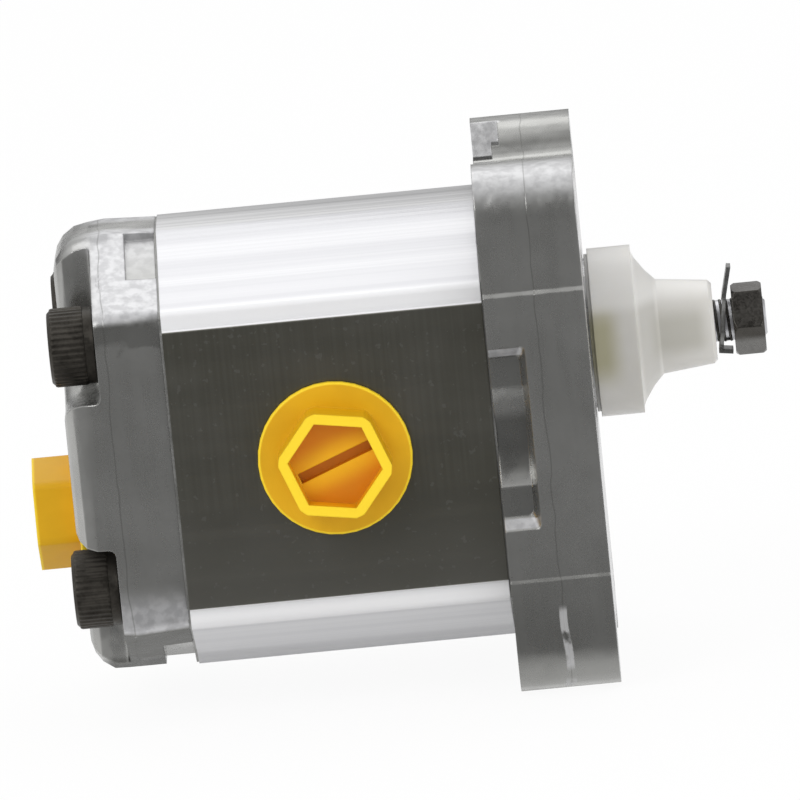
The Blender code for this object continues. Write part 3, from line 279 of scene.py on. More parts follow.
def die_cast(name, parting_x, painted_light, marks):
    """Glossy die-cast aluminium, with the line where the die halves met at parting_x.

    The given function turns the surface into masks of its painted highlight, its painted shade and its
    painted highlight on the notches, and marks are the rough places on that line, as (lowest z, highest
    z, half width, share torn)."""
    s = Surface(name, (0.40, 0.40, 0.39), 0.9, 0.30)
    blotch = s.noise(70.0, 5.0)
    swell = s.noise(170.0, 2.0, (1.0, 1.0, 0.7))
    mottle = s.noise(620.0, 4.0)
    drag = s.noise(420.0, 3.0, (1.0, 1.0, 0.12), 0.30, 0.75)
    grain = s.noise(1900.0, 3.0, low=0.2, high=0.8)
    # Masks of painted highlight, painted shade and a painted highlight on the notch floors
    lit, shaded, painted_notch_highlight = painted_light(s)
    wander = s.sum((LINE_WANDER, s.noise(90.0, 2.0)), (1.0, s.x))
    middle = parting_x + LINE_WANDER / 2.0
    line = s.band(wander, middle - LINE_HALF_WIDTH, middle + LINE_HALF_WIDTH, LINE_SOFTNESS)
    step = s.ramp(wander, middle - LINE_HALF_WIDTH / 2.0, middle + LINE_HALF_WIDTH)
    torn = 0.0
    for low, high, half, share in marks:
        along = s.band(s.z, low, high, MARK_END_SOFTNESS)
        across = s.band(wander, middle - half, middle + half, MARK_SIDE_SOFTNESS)
        crumbs = s.noise(700.0, 5.0, (1.0, 1.0, 0.6), 0.62 - 0.3 * share, 0.72 - 0.2 * share)
        torn = s.highest(torn, s.product(along, across, crumbs))
    s.colour(s.layers(
        s.mix(blotch, (0.34, 0.34, 0.328), (0.40, 0.40, 0.388)),
        (s.product(drag, 0.15), (0.50, 0.50, 0.485)),
        # Painted shade: a darker base colour
        (shaded, (0.10, 0.10, 0.092)),
        # Painted highlight: a paler base colour
        (lit, s.mix(mottle, (0.46, 0.46, 0.47), TRIMMED_SKIN_AND_HIGHLIGHT)),
        (s.product(line, 0.45), (0.16, 0.16, 0.15)),
        (s.product(torn, 0.70), TRIMMED_SKIN_AND_HIGHLIGHT),
        # Painted highlight on the notch floors: pale, less metallic skin
        (s.product(painted_notch_highlight, 0.9), s.mix(mottle, (0.58, 0.58, 0.59), (0.86, 0.86, 0.87))),
        (s.ramp(s.x, *MACHINED_X), (0.62, 0.62, 0.62))))
    s.metallic(s.sum((-0.45, torn), (-0.25, lit), (-0.75, painted_notch_highlight), (0.9, 1.0)))
    s.roughness(s.sum((0.04, grain), (0.05, drag), (0.12, lit), (0.20, torn), (0.24, 1.0)))
    # Painted shade: a darker specular tint where the surface is shaded
    painted_shade_tint = s.mix(shaded, (1.0, 1.0, 1.0), (0.15, 0.15, 0.15))
    s.feed(s.shader.inputs["Specular Tint"], painted_shade_tint)
    height = s.sum((1.1, swell), (0.03, mottle), (0.003, grain), (0.05, drag), (0.3, step), (0.9, torn))
    s.relief(height, CAST_RELIEF, CAST_EDGE)
    return s.material


# Painted highlights and painted shade on the cover, in distances from the body's middle and past the
# slope of its shoulder
COVER_SLOPE = mm(1.0, 2.2)
COVER_WAIST_Z = mm(-1.0, 1.0)
COVER_CORNER_Z = mm(-24.0, -18.5)
COVER_CORNER_Y = mm(28.7, 29.7)
COVER_PATCH_Z = mm(22.6, 27.5)
COVER_PATCH_Y = mm(28.5, 29.5)
COVER_PATCH_WAVE = 2.4 * MM


def cover_painted_light(s):
    """Painted highlights on the upper slopes and lower corners, painted shade on the lower slopes and
    an upper patch.
    """
    side = s.math("ABSOLUTE", s.y)
    height = s.math("SUBTRACT", s.z, BODY_MIDDLE.z)
    up = s.math("ABSOLUTE", height)
    out = s.sum((math.sin(SHOULDER_TILT), side), (math.cos(SHOULDER_TILT), up))
    face = (BODY_HIGH.z - BODY_MIDDLE.z) * math.cos(SHOULDER_TILT)
    slope = s.ramp(out, face + COVER_SLOPE[0], face + COVER_SLOPE[1])
    front = s.ramp(s.x, COVER_PARTING_X - 4.0 * MM, COVER_PARTING_X + 0.5 * MM, 0.15, 1.0)
    upper = s.product(slope, s.ramp(height, *COVER_WAIST_Z), front)
    lower = s.product(slope, s.fall(height, *COVER_WAIST_Z), 0.60)
    corner = s.product(s.fall(height, *COVER_CORNER_Z), s.ramp(side, *COVER_CORNER_Y))
    wave = s.sum((COVER_PATCH_WAVE, s.noise(260.0, 3.0)), (1.0, height))
    patch = s.product(s.band(wave, *COVER_PATCH_Z, 0.8 * MM), s.ramp(side, *COVER_PATCH_Y), 0.40)
    # Painted highlight, painted shade, and no notch highlight on the cover
    return s.highest(upper, corner), s.highest(lower, patch), 0.0


# Painted highlights and painted shade on the flange, in distances from its middle
NOTCH_X = mm(-12.5, -11.5)
CROWN_Y = mm(-26.0, -22.0)
CROWN_Z = mm(38.5, 43.0)
FLANK_Y = mm(15.6, 19.5)
FLANK_Z = (LOBE_ROOT_Z, 41.5 * MM)
SCOOP_Y = mm(31.6, 32.9)
SCOOP_Z = mm(-6.4, 3.4)
LEDGE_INNER_Y = mm(31.0, 32.5)
LEDGE_OUTER_Y = mm(33.4, 33.7)
LEDGE_Z = mm(8.6, 14.4)
FOOT_Y = mm(30.0, 33.0)
FOOT_Z = mm(-34.0, -22.0)
BEVEL_X = mm(-11.4, -11.0)
BEVEL_Y = mm(32.0, 35.2)
BEVEL_Z = mm(13.9, 15.5)


def flange_painted_light(s):
    """Painted highlights on the near crowns of the lobes, the bevels of the scoop's ends and the
    notches, with painted shade in the scoop and its ledges, on the inner flanks of the lobes and on the
    foot."""
    side = s.math("ABSOLUTE", s.y)
    height = s.math("SUBTRACT", s.z, FLANGE_MIDDLE.z)
    up = s.math("ABSOLUTE", height)
    # Painted highlight on the notch floors
    notch = s.product(s.band(side, NOTCH_FLOOR_Y - 0.7 * MM, NOTCH_FLOOR_Y + 0.4 * MM, 0.2 * MM),
                      s.ramp(up, LOBE_ROOT_Z, LOBE_ROOT_Z + 4.0 * MM), s.fall(s.x, *NOTCH_X))
    # Painted highlight on the crowns and bevels, painted shade on the flanks, scoop, ledges and foot
    crown = s.product(s.ramp(height, *CROWN_Z, 0.0, 0.8), s.fall(s.y, *CROWN_Y))
    flank = s.product(s.band(side, *FLANK_Y, 0.5 * MM), s.band(height, *FLANK_Z, 1.2 * MM), 0.75)
    scoop = s.product(s.fall(side, *SCOOP_Y, 0.62), s.band(height, *SCOOP_Z, 1.4 * MM))
    ledge = s.product(s.fall(side, *LEDGE_OUTER_Y, 0.40), s.band(up, *LEDGE_Z, 0.3 * MM),
                      s.ramp(side, *LEDGE_INNER_Y))
    foot = s.product(s.fall(height, *FOOT_Z, 0.30), s.ramp(side, *FOOT_Y))
    bevel = s.product(s.band(up, *BEVEL_Z, 0.1 * MM), s.fall(s.x, *BEVEL_X),
                      s.band(side, *BEVEL_Y, 0.15 * MM))
    # Masks of painted highlight, painted shade and the notches' painted highlight
    return s.highest(crown, bevel), s.highest(foot, flank, scoop, ledge), notch


# Extrusion, in distances from the body's middle
PORT_FACE_DEPTH = 0.30 * MM
PORT_FACE_SKIN = 0.10 * MM
STRIP_START = 0.1 * MM
STRIP_END = 0.8 * MM
TOP_SOFTNESS = 0.25 * MM
UNDERSIDE_Z = mm(-24.0, -22.0)
FACE_FLOOR_LIGHT_Z = mm(-24.0, -2.0)
EXTRUDED_RELIEF = 0.25 * MM
EXTRUDED_EDGE = 0.22 * MM


def extruded():
    """Extruded aluminium with drawn lines along it, and machined port faces at its sides; the port
    faces are painted dark as a reflection and lighter towards their bottom, the strips beside them get
    a painted sheen, and the top flat and underside get painted shade.
    """
    s = Surface("body_extrusion", (0.74, 0.74, 0.76), 0.4, 0.34)
    side = s.math("ABSOLUTE", s.y)
    height = s.math("SUBTRACT", s.z, BODY_MIDDLE.z)
    up = s.math("ABSOLUTE", height)
    port_face = s.ramp(side, BODY_HIGH.y - PORT_FACE_DEPTH, BODY_HIGH.y - PORT_FACE_SKIN)
    elsewhere = s.math("SUBTRACT", 1.0, port_face)
    drawn = s.noise(1.0, 3.0, (5.0, 1500.0, 1500.0))
    drawn_wide = s.noise(1.0, 2.0, (2.5, 330.0, 330.0))
    milled = s.noise(1.0, 3.0, (1500.0, 60.0, 20.0))
    cloud = s.noise(45.0, 3.0)
    speck = s.noise(900.0, 2.0, low=0.66, high=0.70)
    # Mask of the narrow strips above and below the port faces, which get a painted sheen
    strip = s.fall(up, SHOULDER_Z + STRIP_START, SHOULDER_Z + STRIP_END)
    top = s.fall(side, BODY_TOP_Y - TOP_SOFTNESS, BODY_TOP_Y + TOP_SOFTNESS)
    shoulder = s.layers(
        s.mix(s.product(drawn, 0.35), (0.68, 0.68, 0.695), (0.56, 0.56, 0.58)),
        (s.product(drawn_wide, 0.30), (0.54, 0.54, 0.57)),
        # Painted shade: the lower shoulders are painted darker
        (s.fall(height, *UNDERSIDE_Z, 0.55), (0.46, 0.46, 0.475)),
        # Painted sheen: the strips beside the port faces are painted paler
        (s.product(strip, s.sum((-0.3, drawn_wide), (1.0, 1.0))), (0.86, 0.86, 0.87)),
        # Painted shade: the top flat is painted darker, as a dim reflection
        (top, s.mix(drawn, (0.44, 0.44, 0.445), (0.60, 0.60, 0.605))))
    # Painted light from the floor on the lower part of the port faces, with faint milling marks
    glow = s.highest(s.fall(height, *FACE_FLOOR_LIGHT_Z, 0.45), s.product(milled, 0.15))
    face = s.layers(
        # Painted reflection: the port faces' dark base colour stands in for their reflection of the dim
        # front
        s.mix(cloud, (0.145, 0.142, 0.118), (0.175, 0.172, 0.150)),
        (glow, (0.24, 0.237, 0.215)),
        (s.product(speck, 0.20), (0.34, 0.34, 0.33)))
    s.colour(s.mix(port_face, shoulder, face))
    s.metallic(s.sum((0.52, port_face), (-0.25, s.product(strip, elsewhere)), (0.38, 1.0)))
    s.roughness(s.sum((0.06, port_face), (0.10, drawn_wide), (0.28, 1.0)))
    lines = s.product(s.sum((1.0, drawn), (0.8, drawn_wide)), s.fall(port_face, 0.0, 1.0))
    s.relief(s.sum((0.05, lines), (0.01, milled)), EXTRUDED_RELIEF, EXTRUDED_EDGE)
    return s.material


# Steels, rubber and plastics
MACHINED_RELIEF = 0.01 * MM
MACHINED_EDGE = 0.15 * MM
BLACKENED_RELIEF = 0.012 * MM
BLACKENED_EDGE = 0.30 * MM
RUBBER_RELIEF = 0.02 * MM
NUT_LIT_FLATS_Z = mm(-3.4, -2.0)


def machined_metal(name, dark, light, metallic=1.0, roughness=0.26):
    """Turned or ground metal, with fine rings about the shaft's direction."""
    s = Surface(name, light, metallic, roughness)
    rings = s.noise(1.0, 3.0, (2600.0, 40.0, 40.0))
    cloud = s.noise(120.0, 4.0)
    s.colour(s.mix(s.sum((0.6, cloud), (0.4, rings)), dark, light))
    s.roughness(s.sum((0.10, cloud), (0.08, rings), (roughness - 0.06, 1.0)))
    s.relief(rings, MACHINED_RELIEF, MACHINED_EDGE)
    return s.material


def blackened(s, dark, light, roughness):
    """Give a surface the worn, slightly uneven skin of blackened steel, and return its colour."""
    cloud = s.noise(320.0, 5.0)
    grain = s.noise(2400.0, 3.0)
    s.roughness(s.sum((0.16, grain), (0.12, cloud), (roughness - 0.12, 1.0)))
    s.relief(s.sum((0.3, grain), (0.7, cloud)), BLACKENED_RELIEF, BLACKENED_EDGE)
    return s.mix(s.sum((0.7, cloud), (0.3, grain)), dark, light)


def dark_steel(name, dark, light, metallic, roughness):
    """Blackened steel of one colour."""
    s = Surface(name, light, metallic, roughness)
    s.colour(blackened(s, dark, light, roughness))
    return s.material


def hexagon_nut():
    """Phosphated steel, with its lower flats painted brighter than the upper ones, as a reflection of
    the floor.
    """
    s = Surface("nut_steel", (0.09, 0.085, 0.08), 0.9, 0.32)
    base = blackened(s, (0.060, 0.056, 0.050), (0.088, 0.083, 0.076), 0.32)
    # Painted reflection of the floor on the lower flats
    s.colour(s.mix(s.fall(s.z, *NUT_LIT_FLATS_Z, 0.8), base, (0.21, 0.207, 0.20)))
    return s.material


def soft_rubber():
    """Black rubber with a fine grain."""
    s = Surface("seal_rubber", (0.03, 0.03, 0.03), 0.0, 0.65)
    grain = s.noise(1800.0, 3.0)
    s.colour(s.mix(grain, (0.018, 0.018, 0.018), (0.045, 0.045, 0.045)))
    s.roughness(s.sum((0.15, grain), (0.55, 1.0)))
    s.relief(grain, RUBBER_RELIEF)
    return s.material


CAP_CONE_X = mm(8.6, 11.6)
CAP_PILOT_X = mm(2.4, 6.6)
CAP_PILOT_Z = mm(2.5, 9.0)
CAP_SHAFT_X = mm(11.0, 19.5)
CAP_SHAFT_Z = mm(1.5, 5.5)
CAP_HIGHLIGHT_Z = mm(4.5, 7.0)
CAP_RELIEF = 0.05 * MM
CAP_EDGE = 0.30 * MM


def natural_cap():
    """Milky plastic that lets the pilot and the shaft under it show through as faint warm tints, with
    painted shade on the cone and a painted highlight along the top.
    """
    s = Surface("cap_plastic", (0.62, 0.61, 0.57), 0.0, 0.34)
    s.shader.inputs["Subsurface Weight"].default_value = 0.15
    s.shader.inputs["Subsurface Radius"].default_value = (1.0, 0.9, 0.7)
    s.shader.inputs["Subsurface Scale"].default_value = 2.0 * MM
    height = s.math("ABSOLUTE", s.z)
    cloud = s.noise(60.0, 3.0)
    flow = s.noise(220.0, 3.0, (0.3, 1.0, 1.0))
    cone = s.band(s.x, *CAP_CONE_X, 0.4 * MM)
    pilot = s.product(s.fall(s.x, *CAP_PILOT_X), s.fall(height, *CAP_PILOT_Z))
    shaft = s.product(s.band(s.x, *CAP_SHAFT_X, 1.5 * MM), s.fall(height, *CAP_SHAFT_Z))
    s.colour(s.layers(
        s.mix(cloud, (0.59, 0.575, 0.54), (0.66, 0.645, 0.61)),
        # Painted shade on the cone
        (s.product(cone, 0.7), (0.46, 0.45, 0.42)),
        (s.product(pilot, 0.85), (0.40, 0.375, 0.225)),
        (s.product(shaft, 0.5), (0.36, 0.35, 0.29)),
        # Painted highlight along the top
        (s.product(s.ramp(s.z, *CAP_HIGHLIGHT_Z), 0.5), (0.88, 0.87, 0.85))))
    s.roughness(s.sum((0.10, cloud), (0.28, 1.0)))
    s.relief(s.sum((0.6, flow), (0.4, cloud)), CAP_RELIEF, CAP_EDGE)
    return s.material


# Painted highlights, painted light and painted shade of the port plugs, in depths from the rim, radii
# and distances from the slot
PLUG_TOP = mm(0.15, 0.6)
PLUG_SUNK = mm(0.1, 1.2)
PLUG_FLOOR = (RECESS_DEPTH - 0.5 * MM, RECESS_DEPTH - 0.1 * MM)
PLUG_DEEP = (RECESS_DEPTH + 0.1 * MM, RECESS_DEPTH + 0.5 * MM)
PLUG_INNER_RADIUS = mm(7.4, 8.2)
PLUG_DISC_RADIUS = mm(12.45, 12.75)
PLUG_SLOT_LIGHT = mm(0.9, 5.0)
PLUG_RELIEF = 0.06 * MM
PLUG_EDGE = 0.35 * MM
SIDE_SLOT_ANGLE = math.radians(21.0)
REAR_SLOT_ANGLE = math.radians(110.0)


def port_plug(name, depth_axis, rim, across, centre, slot_angle):
    """Yellow plastic that turns orange inside the hexagon, with painted highlights on its rims, and in
    the recess painted light along the slot and painted shade away from it and at the bottom.

    depth_axis grows from the rim inwards, across names the other two axes, and slot_angle
    is the slot's direction in their plane."""
    s = Surface(name, (0.82, 0.46, 0.008), 0.0, 0.42)
    s.shader.inputs["Specular IOR Level"].default_value = 0.25
    first, second = (getattr(s, axis) for axis in across)
    radius = s.radius_about(first, second, centre)
    depth = s.math("SUBTRACT", getattr(s, depth_axis), rim)
    from_slot = s.math("ABSOLUTE", s.sum(
        (-math.sin(slot_angle), s.math("SUBTRACT", first, centre[0])),
        (math.cos(slot_angle), s.math("SUBTRACT", second, centre[1]))))
    cloud = s.noise(110.0, 3.0)
    inner = s.fall(radius, *PLUG_INNER_RADIUS)
    # Mask of the painted highlight on the rims
    edges = s.highest(s.fall(depth, *PLUG_TOP), s.ramp(radius, *PLUG_DISC_RADIUS))
    s.colour(s.layers(
        s.mix(cloud, (0.70, 0.385, 0.004), (0.76, 0.425, 0.006)),
        # Painted highlight on the rims
        (s.product(edges, 0.85), (1.0, 0.72, 0.03)),
        (s.product(s.ramp(depth, *PLUG_SUNK), inner), (0.86, 0.42, 0.003)),
        # Painted light along the slot and painted shade away from it on the recess floor
        (s.product(s.ramp(depth, *PLUG_FLOOR), inner),
         s.mix(s.ramp(from_slot, *PLUG_SLOT_LIGHT), (0.86, 0.46, 0.006), (0.68, 0.24, 0.002))),
        # Painted shade at the bottom of the slot
        (s.product(s.ramp(depth, *PLUG_DEEP), inner), (0.72, 0.26, 0.005))))
    s.roughness(s.sum((0.10, cloud), (0.36, 1.0)))
    s.relief(cloud, PLUG_RELIEF, PLUG_EDGE)
    return s.material


def dress(material, *names):
    """Put a material on every slot of the named CAD nodes."""
    for name in names:
        for slot in NODES[name].material_slots:
            slot.material = material


FLANGE_MARKS = (mm(-50.5, -40.0, 0.65) + (0.9,), mm(-56.0, -53.0, 1.0) + (0.7,))
COVER_MARKS = (mm(15.5, 21.0, 0.5) + (0.4,), mm(-40.0, -36.0, 0.2) + (0.3,))
BOLT_NAMES = [name for name in NODES if name.startswith("cover_bolt_")]
DOWEL_NAMES = [name for name in NODES if "_dowel_" in name]
bolt_finish = dark_steel("bolt_steel", (0.030, 0.027, 0.022), (0.075, 0.068, 0.058), 0.75, 0.42)
shaft_finish = machined_metal("shaft_steel", (0.42, 0.42, 0.43), (0.58, 0.58, 0.60))
dress(die_cast("flange_casting", FLANGE_PARTING_X, flange_painted_light, FLANGE_MARKS), "mounting_flange")
dress(die_cast("cover_casting", COVER_PARTING_X, cover_painted_light, COVER_MARKS), "rear_cover")
dress(extruded(), "pump_body")
dress(shaft_finish, "drive_gear_shaft", "driven_gear_shaft")
dress(machined_metal("block_alloy", (0.46, 0.47, 0.48), (0.60, 0.61, 0.62), 0.95, 0.34),
      "front_bearing_block", "rear_bearing_block")
dress(machined_metal("bush_bronze", (0.36, 0.25, 0.14), (0.50, 0.36, 0.22), 0.95, 0.38),
      "front_drive_bush", "rear_drive_bush", "front_driven_bush", "rear_driven_bush")
dress(soft_rubber(),
      "front_body_seal", "rear_body_seal", "front_balance_seal", "rear_balance_seal", "shaft_seal")
dress(machined_metal("pin_steel", (0.38, 0.38, 0.39), (0.55, 0.55, 0.56), 1.0, 0.3),
      "seal_circlip", "shaft_key", *DOWEL_NAMES)
dress(natural_cap(), "shaft_cap")
dress(dark_steel("washer_steel", (0.15, 0.15, 0.145), (0.32, 0.32, 0.315), 0.85, 0.38), "tab_washer")
dress(hexagon_nut(), "shaft_nut")
dress(port_plug("side_plug_plastic", "y", SIDE_PLUG_LOW.y, ("x", "z"),
                (SIDE_PLUG_MIDDLE.x, SIDE_PLUG_MIDDLE.z), SIDE_SLOT_ANGLE), "side_port_plug")
dress(port_plug("rear_plug_plastic", "x", REAR_PLUG_LOW.x, ("y", "z"),
                (REAR_PLUG_MIDDLE.y, REAR_PLUG_MIDDLE.z), REAR_SLOT_ANGLE), "rear_port_plug")
dress(bolt_finish, *BOLT_NAMES)


# Pieces that the solids leave to the scene
def linked_object(name, data):
    """New object of the data, in the scene."""
    made = bpy.data.objects.new(name, data)
    bpy.context.scene.collection.objects.link(made)
    return made


def mesh_piece(name, bm, material, body):
    """Closed mesh that rides on a body and takes the given finish."""
    bmesh.ops.recalc_face_normals(bm, faces=bm.faces)
    mesh = bpy.data.meshes.new(name)
    bm.to_mesh(mesh)
    bm.free()
    piece = linked_object(name, mesh)
    piece.data.materials.append(material)
    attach(piece, body)
    return piece


def bridge(bm, rings):
    """Faces between each ring of vertices and the next."""
    for first, second in zip(rings, rings[1:]):
        for k in range(len(first)):
            j = (k + 1) % len(first)
            bm.faces.new((first[k], first[j], second[j], second[k]))


KNURL_RIBS = 40
POINTS_PER_RIB = 4
RIB_POINTS = (1, 2)
KNURL_LENGTH = 5.6 * MM
KNURL_START = 0.5 * MM
KNURL_HEIGHT = 0.17 * MM
KNURL_GROOVE = 0.01 * MM
KNURL_SUNK = 0.25 * MM
KNURL_CHAMFER = 0.35 * MM
KNURL_END_SHARE = 0.25


def knurl(name, node):
    """Ribbed sleeve round the rear of a socket head."""
    low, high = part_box(node)
    centre = (low + high) / 2.0
    head = (high.z - low.z) / 2.0
    points = POINTS_PER_RIB * KNURL_RIBS
    bm = bmesh.new()

    def ring(along, radii):
        verts = []
        for k, radius in enumerate(radii):
            angle = 2.0 * math.pi * k / points
            verts.append(bm.verts.new((low.x + KNURL_START + along,
                                       centre.y + radius * math.cos(angle),
                                       centre.z + radius * math.sin(angle))))
        return verts

    def ribbed(share):
        return [head + (KNURL_HEIGHT * share if k % POINTS_PER_RIB in RIB_POINTS else KNURL_GROOVE)
                for k in range(points)]

    rings = [ring(along, ribbed(share)) for along, share in (
        (0.0, KNURL_END_SHARE), (KNURL_CHAMFER, 1.0),
        (KNURL_LENGTH - KNURL_CHAMFER, 1.0), (KNURL_LENGTH, KNURL_END_SHARE))]
    rings += [ring(along, [head - KNURL_SUNK] * points) for along in (KNURL_LENGTH, 0.0)]
    bridge(bm, rings + rings[:1])
    return mesh_piece(name, bm, bolt_finish, "pump")


FILLER_INSET = 0.25 * MM
FILLER_WIDTH = 2.0 * MM
FILLER_SUNK = 0.10 * MM
BODY_QUARTER = [mm(*point) for point in ((30.7, 23.6), (30.1, 24.0), (30.1, 26.3),
                                         (29.3, 27.3), (14.1, 33.9), (7.7, 37.4))]


def body_outline(inset):
    """Outline of the pump body about its middle, drawn in by inset."""
    half = BODY_QUARTER + [(-y, z) for y, z in reversed(BODY_QUARTER)]
    full = half + [(-y, -z) for y, z in half]
    return [(y - math.copysign(inset, y), z - math.copysign(inset, z)) for y, z in full]


def joint_filler(name, x_low, x_high):
    """Thin band in the joint between two housings, where their faces touch on the product."""
    bm = bmesh.new()
    rings = []
    for x, inset in ((x_low, 0.0), (x_high, 0.0), (x_high, FILLER_WIDTH), (x_low, FILLER_WIDTH)):
        rings.append([bm.verts.new((x, y, z + BODY_MIDDLE.z))
                      for y, z in body_outline(FILLER_INSET + inset)])
    bridge(bm, rings + rings[:1])
    return mesh_piece(name, bm, filler_finish, "pump")


THREAD_PITCH = 1.0 * MM
THREAD_STEPS = 36
THREAD_HEIGHT = 0.16 * MM
THREAD_END_HEIGHT = 0.02 * MM
THREAD_FADE_STEPS = 9.0
THREAD_HALF_WIDTH = 0.40 * MM
THREAD_SUNK = 0.10 * MM


def thread_coil(name, start, end, radius, material):
    """Helical ridge on the shaft's threaded end."""
    turns = (end - start) / THREAD_PITCH
    count = int(turns * THREAD_STEPS)
    bm = bmesh.new()
    rings = []
    for k in range(count + 1):
        angle = 2.0 * math.pi * k / THREAD_STEPS
        x = start + THREAD_PITCH * k / THREAD_STEPS
        fade = min(1.0, k / THREAD_FADE_STEPS, (count - k) / THREAD_FADE_STEPS)
        ridge = max(THREAD_END_HEIGHT, THREAD_HEIGHT * fade)
        profile = ((-THREAD_HALF_WIDTH, -THREAD_SUNK), (0.0, ridge), (THREAD_HALF_WIDTH, -THREAD_SUNK))
        rings.append([bm.verts.new((x + dx, (radius + dr) * math.cos(angle),
                                    (radius + dr) * math.sin(angle))) for dx, dr in profile])
    bridge(bm, rings)
    bm.faces.new(rings[0])
    bm.faces.new(list(reversed(rings[-1])))
    return mesh_piece(name, bm, material, "drive_shaft")


filler_finish = dark_steel("joint_filler", (0.20, 0.20, 0.19), (0.32, 0.32, 0.31), 0.6, 0.40)
joint_filler("front_joint_filler", BODY_HIGH.x - FILLER_SUNK, FLANGE_LOW.x + FILLER_SUNK)
joint_filler("rear_joint_filler", COVER_HIGH.x - FILLER_SUNK, BODY_LOW.x + FILLER_SUNK)
for bolt in BOLT_NAMES:
    knurl(bolt.replace("cover_bolt", "head_knurl"), bolt)
thread_finish = dark_steel("shaft_thread_steel", (0.07, 0.065, 0.06), (0.20, 0.195, 0.18), 0.85, 0.36)
thread_coil("shaft_thread", THREAD_START_X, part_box("drive_gear_shaft")[1].x - THREAD_CHAMFER,
            THREAD_RADIUS, thread_finish)


# Studio
FLOOR_Z = FLANGE_LOW.z - 0.2 * MM
FLOOR_HALF_SIZE = 6.0
FLOOR_LEVEL_Y = (-0.055, -0.030)
FLOOR_COLOUR = (0.86, 0.86, 0.86, 1.0)
FLOOR_SHADOW = 0.07
DIM_LEVEL = 0.20
CEILING_LEVEL = 1.08
WALL_LEVEL = 0.90
SOFT_LEVEL = 0.70
CEILING_LEAN = 0.5
CEILING_HEIGHT = (0.50, 0.95)
WALL_SIDE = (0.55, 0.90)


def shown_rays(tree):
    """Camera ray mask, and the mask of camera, glossy and transmission rays together."""
    path = tree.nodes.new("ShaderNodeLightPath")
    camera = path.outputs["Is Camera Ray"]
    shown = calculated(tree, "MAXIMUM", camera, path.outputs["Is Glossy Ray"])
    return camera, calculated(tree, "MAXIMUM", shown, path.outputs["Is Transmission Ray"])


def floor_material():
    """White floor with a light shadow, whose reflection dims towards the front of the room."""
    made = bpy.data.materials.new("studio_floor")
    made.use_nodes = True
    tree = made.node_tree
    tree.nodes.clear()
    _, _, y, _ = coordinates(tree, "Object")
    camera, shown = shown_rays(tree)
    level = smooth_step(tree, y, *FLOOR_LEVEL_Y, DIM_LEVEL, 1.0)
    diffuse = tree.nodes.new("ShaderNodeBsdfDiffuse")
    diffuse.inputs["Color"].default_value = FLOOR_COLOUR
    glow = tree.nodes.new("ShaderNodeEmission")
    feed(tree, glow.inputs["Strength"], calculated(tree, "MAXIMUM", camera, level))
    blend = tree.nodes.new("ShaderNodeMixShader")
    feed(tree, blend.inputs[0], calculated(tree, "MULTIPLY", shown, 1.0 - FLOOR_SHADOW))
    feed(tree, blend.inputs[1], diffuse.outputs[0])
    feed(tree, blend.inputs[2], glow.outputs[0])
    feed(tree, tree.nodes.new("ShaderNodeOutputMaterial").inputs["Surface"], blend.outputs[0])
    return made


def make_floor():
    """Wide square just under the flange."""
    points = [(x * FLOOR_HALF_SIZE, y * FLOOR_HALF_SIZE, FLOOR_Z)
              for x, y in ((-1, -1), (1, -1), (1, 1), (-1, 1))]
    mesh = bpy.data.meshes.new("studio_floor")
    mesh.from_pydata(points, [], [(0, 1, 2, 3)])
    made = linked_object("studio_floor", mesh)
    made.data.materials.append(floor_material())


def make_world():
    """White surround: a broad ceiling light and lit side walls, with a dim front and horizon."""
    world = bpy.data.worlds.new("studio")
    bpy.context.scene.world = world
    world.use_nodes = True
    tree = world.node_tree
    _, x, y, z = coordinates(tree, "Generated")
    height = calculated(tree, "ADD", z, calculated(tree, "MULTIPLY", y, CEILING_LEAN))
    side = calculated(tree, "ABSOLUTE", x)
    camera, shown = shown_rays(tree)
    hidden = calculated(tree, "SUBTRACT", 1.0, shown)
    level = smooth_step(tree, height, *CEILING_HEIGHT, DIM_LEVEL, CEILING_LEVEL)
    for other in (smooth_step(tree, side, *WALL_SIDE, DIM_LEVEL, WALL_LEVEL), camera,
                  calculated(tree, "MULTIPLY", hidden, SOFT_LEVEL)):
        level = calculated(tree, "MAXIMUM", level, other)
    background = tree.nodes["Background"]
    background.inputs["Color"].default_value = (1.0, 1.0, 1.0, 1.0)
    feed(tree, background.inputs["Strength"], level)


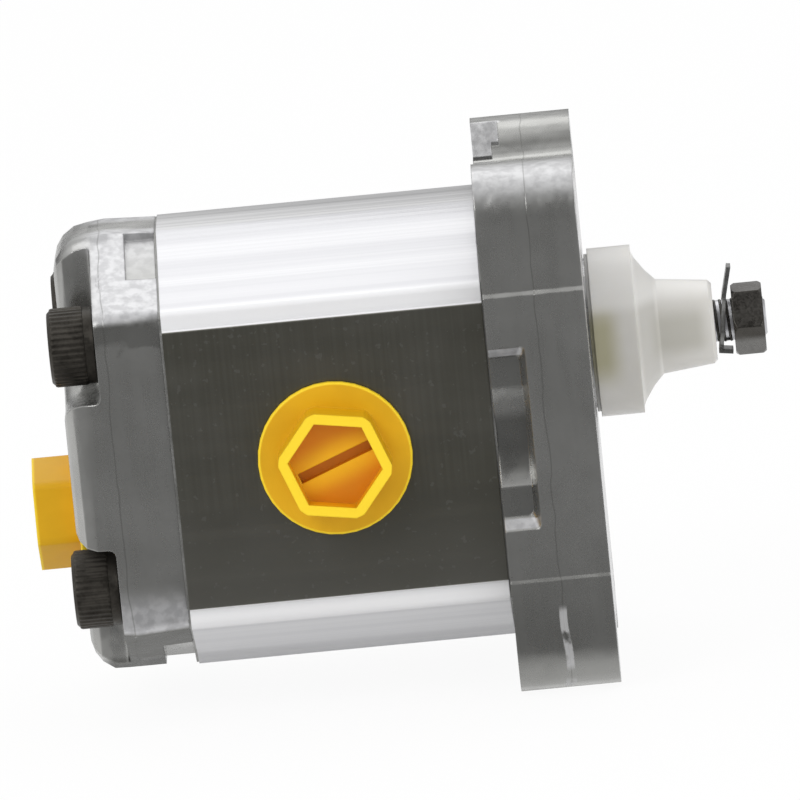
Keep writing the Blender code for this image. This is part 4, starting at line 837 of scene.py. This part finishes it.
LIGHT_TARGET = Vector((-0.03, 0.0, -0.01))


def softbox(name, place, size, watts):
    """Square area light turned to the pump."""
    light = bpy.data.lights.new(name, "AREA")
    light.shape = "SQUARE"
    light.size = size
    light.energy = watts
    lamp = linked_object(name, light)
    lamp.location = place
    lamp.rotation_euler = (Vector(place) - LIGHT_TARGET).to_track_quat("Z", "Y").to_euler()


make_floor()
make_world()
softbox("overhead_softbox", (-0.05, 0.62, 1.00), size=0.80, watts=1.6)
softbox("key_softbox", (-0.80, -1.10, 1.05), size=0.80, watts=9.0)
softbox("fill_softbox", (1.20, -0.60, 0.15), size=0.70, watts=3.0)

# Camera
CAMERA_AZIMUTH = math.radians(1.0452)
CAMERA_ELEVATION = math.radians(10.2788)
CAMERA_ROLL = math.radians(5.6504)
CAMERA_DISTANCE = 3.0
CAMERA_LENS = 797.4
CAMERA_SENSOR = 36.0
CAMERA_CLIP = (0.1, 20.0)
CAMERA_TARGET = Vector((-0.032937, 0.0, -0.00836))


def make_camera():
    """Camera where the photo was taken, from its azimuth, elevation and roll."""
    back = Vector((math.sin(CAMERA_AZIMUTH) * math.cos(CAMERA_ELEVATION),
                   -math.cos(CAMERA_AZIMUTH) * math.cos(CAMERA_ELEVATION), math.sin(CAMERA_ELEVATION)))
    right = Vector((math.cos(CAMERA_AZIMUTH), math.sin(CAMERA_AZIMUTH), 0.0))
    up = back.cross(right)
    side = right * math.cos(CAMERA_ROLL) - up * math.sin(CAMERA_ROLL)
    top = right * math.sin(CAMERA_ROLL) + up * math.cos(CAMERA_ROLL)
    placed = Matrix((side, top, back)).transposed().to_4x4()
    placed.translation = CAMERA_TARGET + back * CAMERA_DISTANCE
    lens = bpy.data.cameras.new("camera")
    lens.sensor_width = CAMERA_SENSOR
    lens.lens = CAMERA_LENS
    lens.clip_start, lens.clip_end = CAMERA_CLIP
    camera = linked_object("camera", lens)
    camera.matrix_world = placed
    bpy.context.scene.camera = camera


make_camera()
bpy.context.scene.view_settings.view_transform = "Standard"
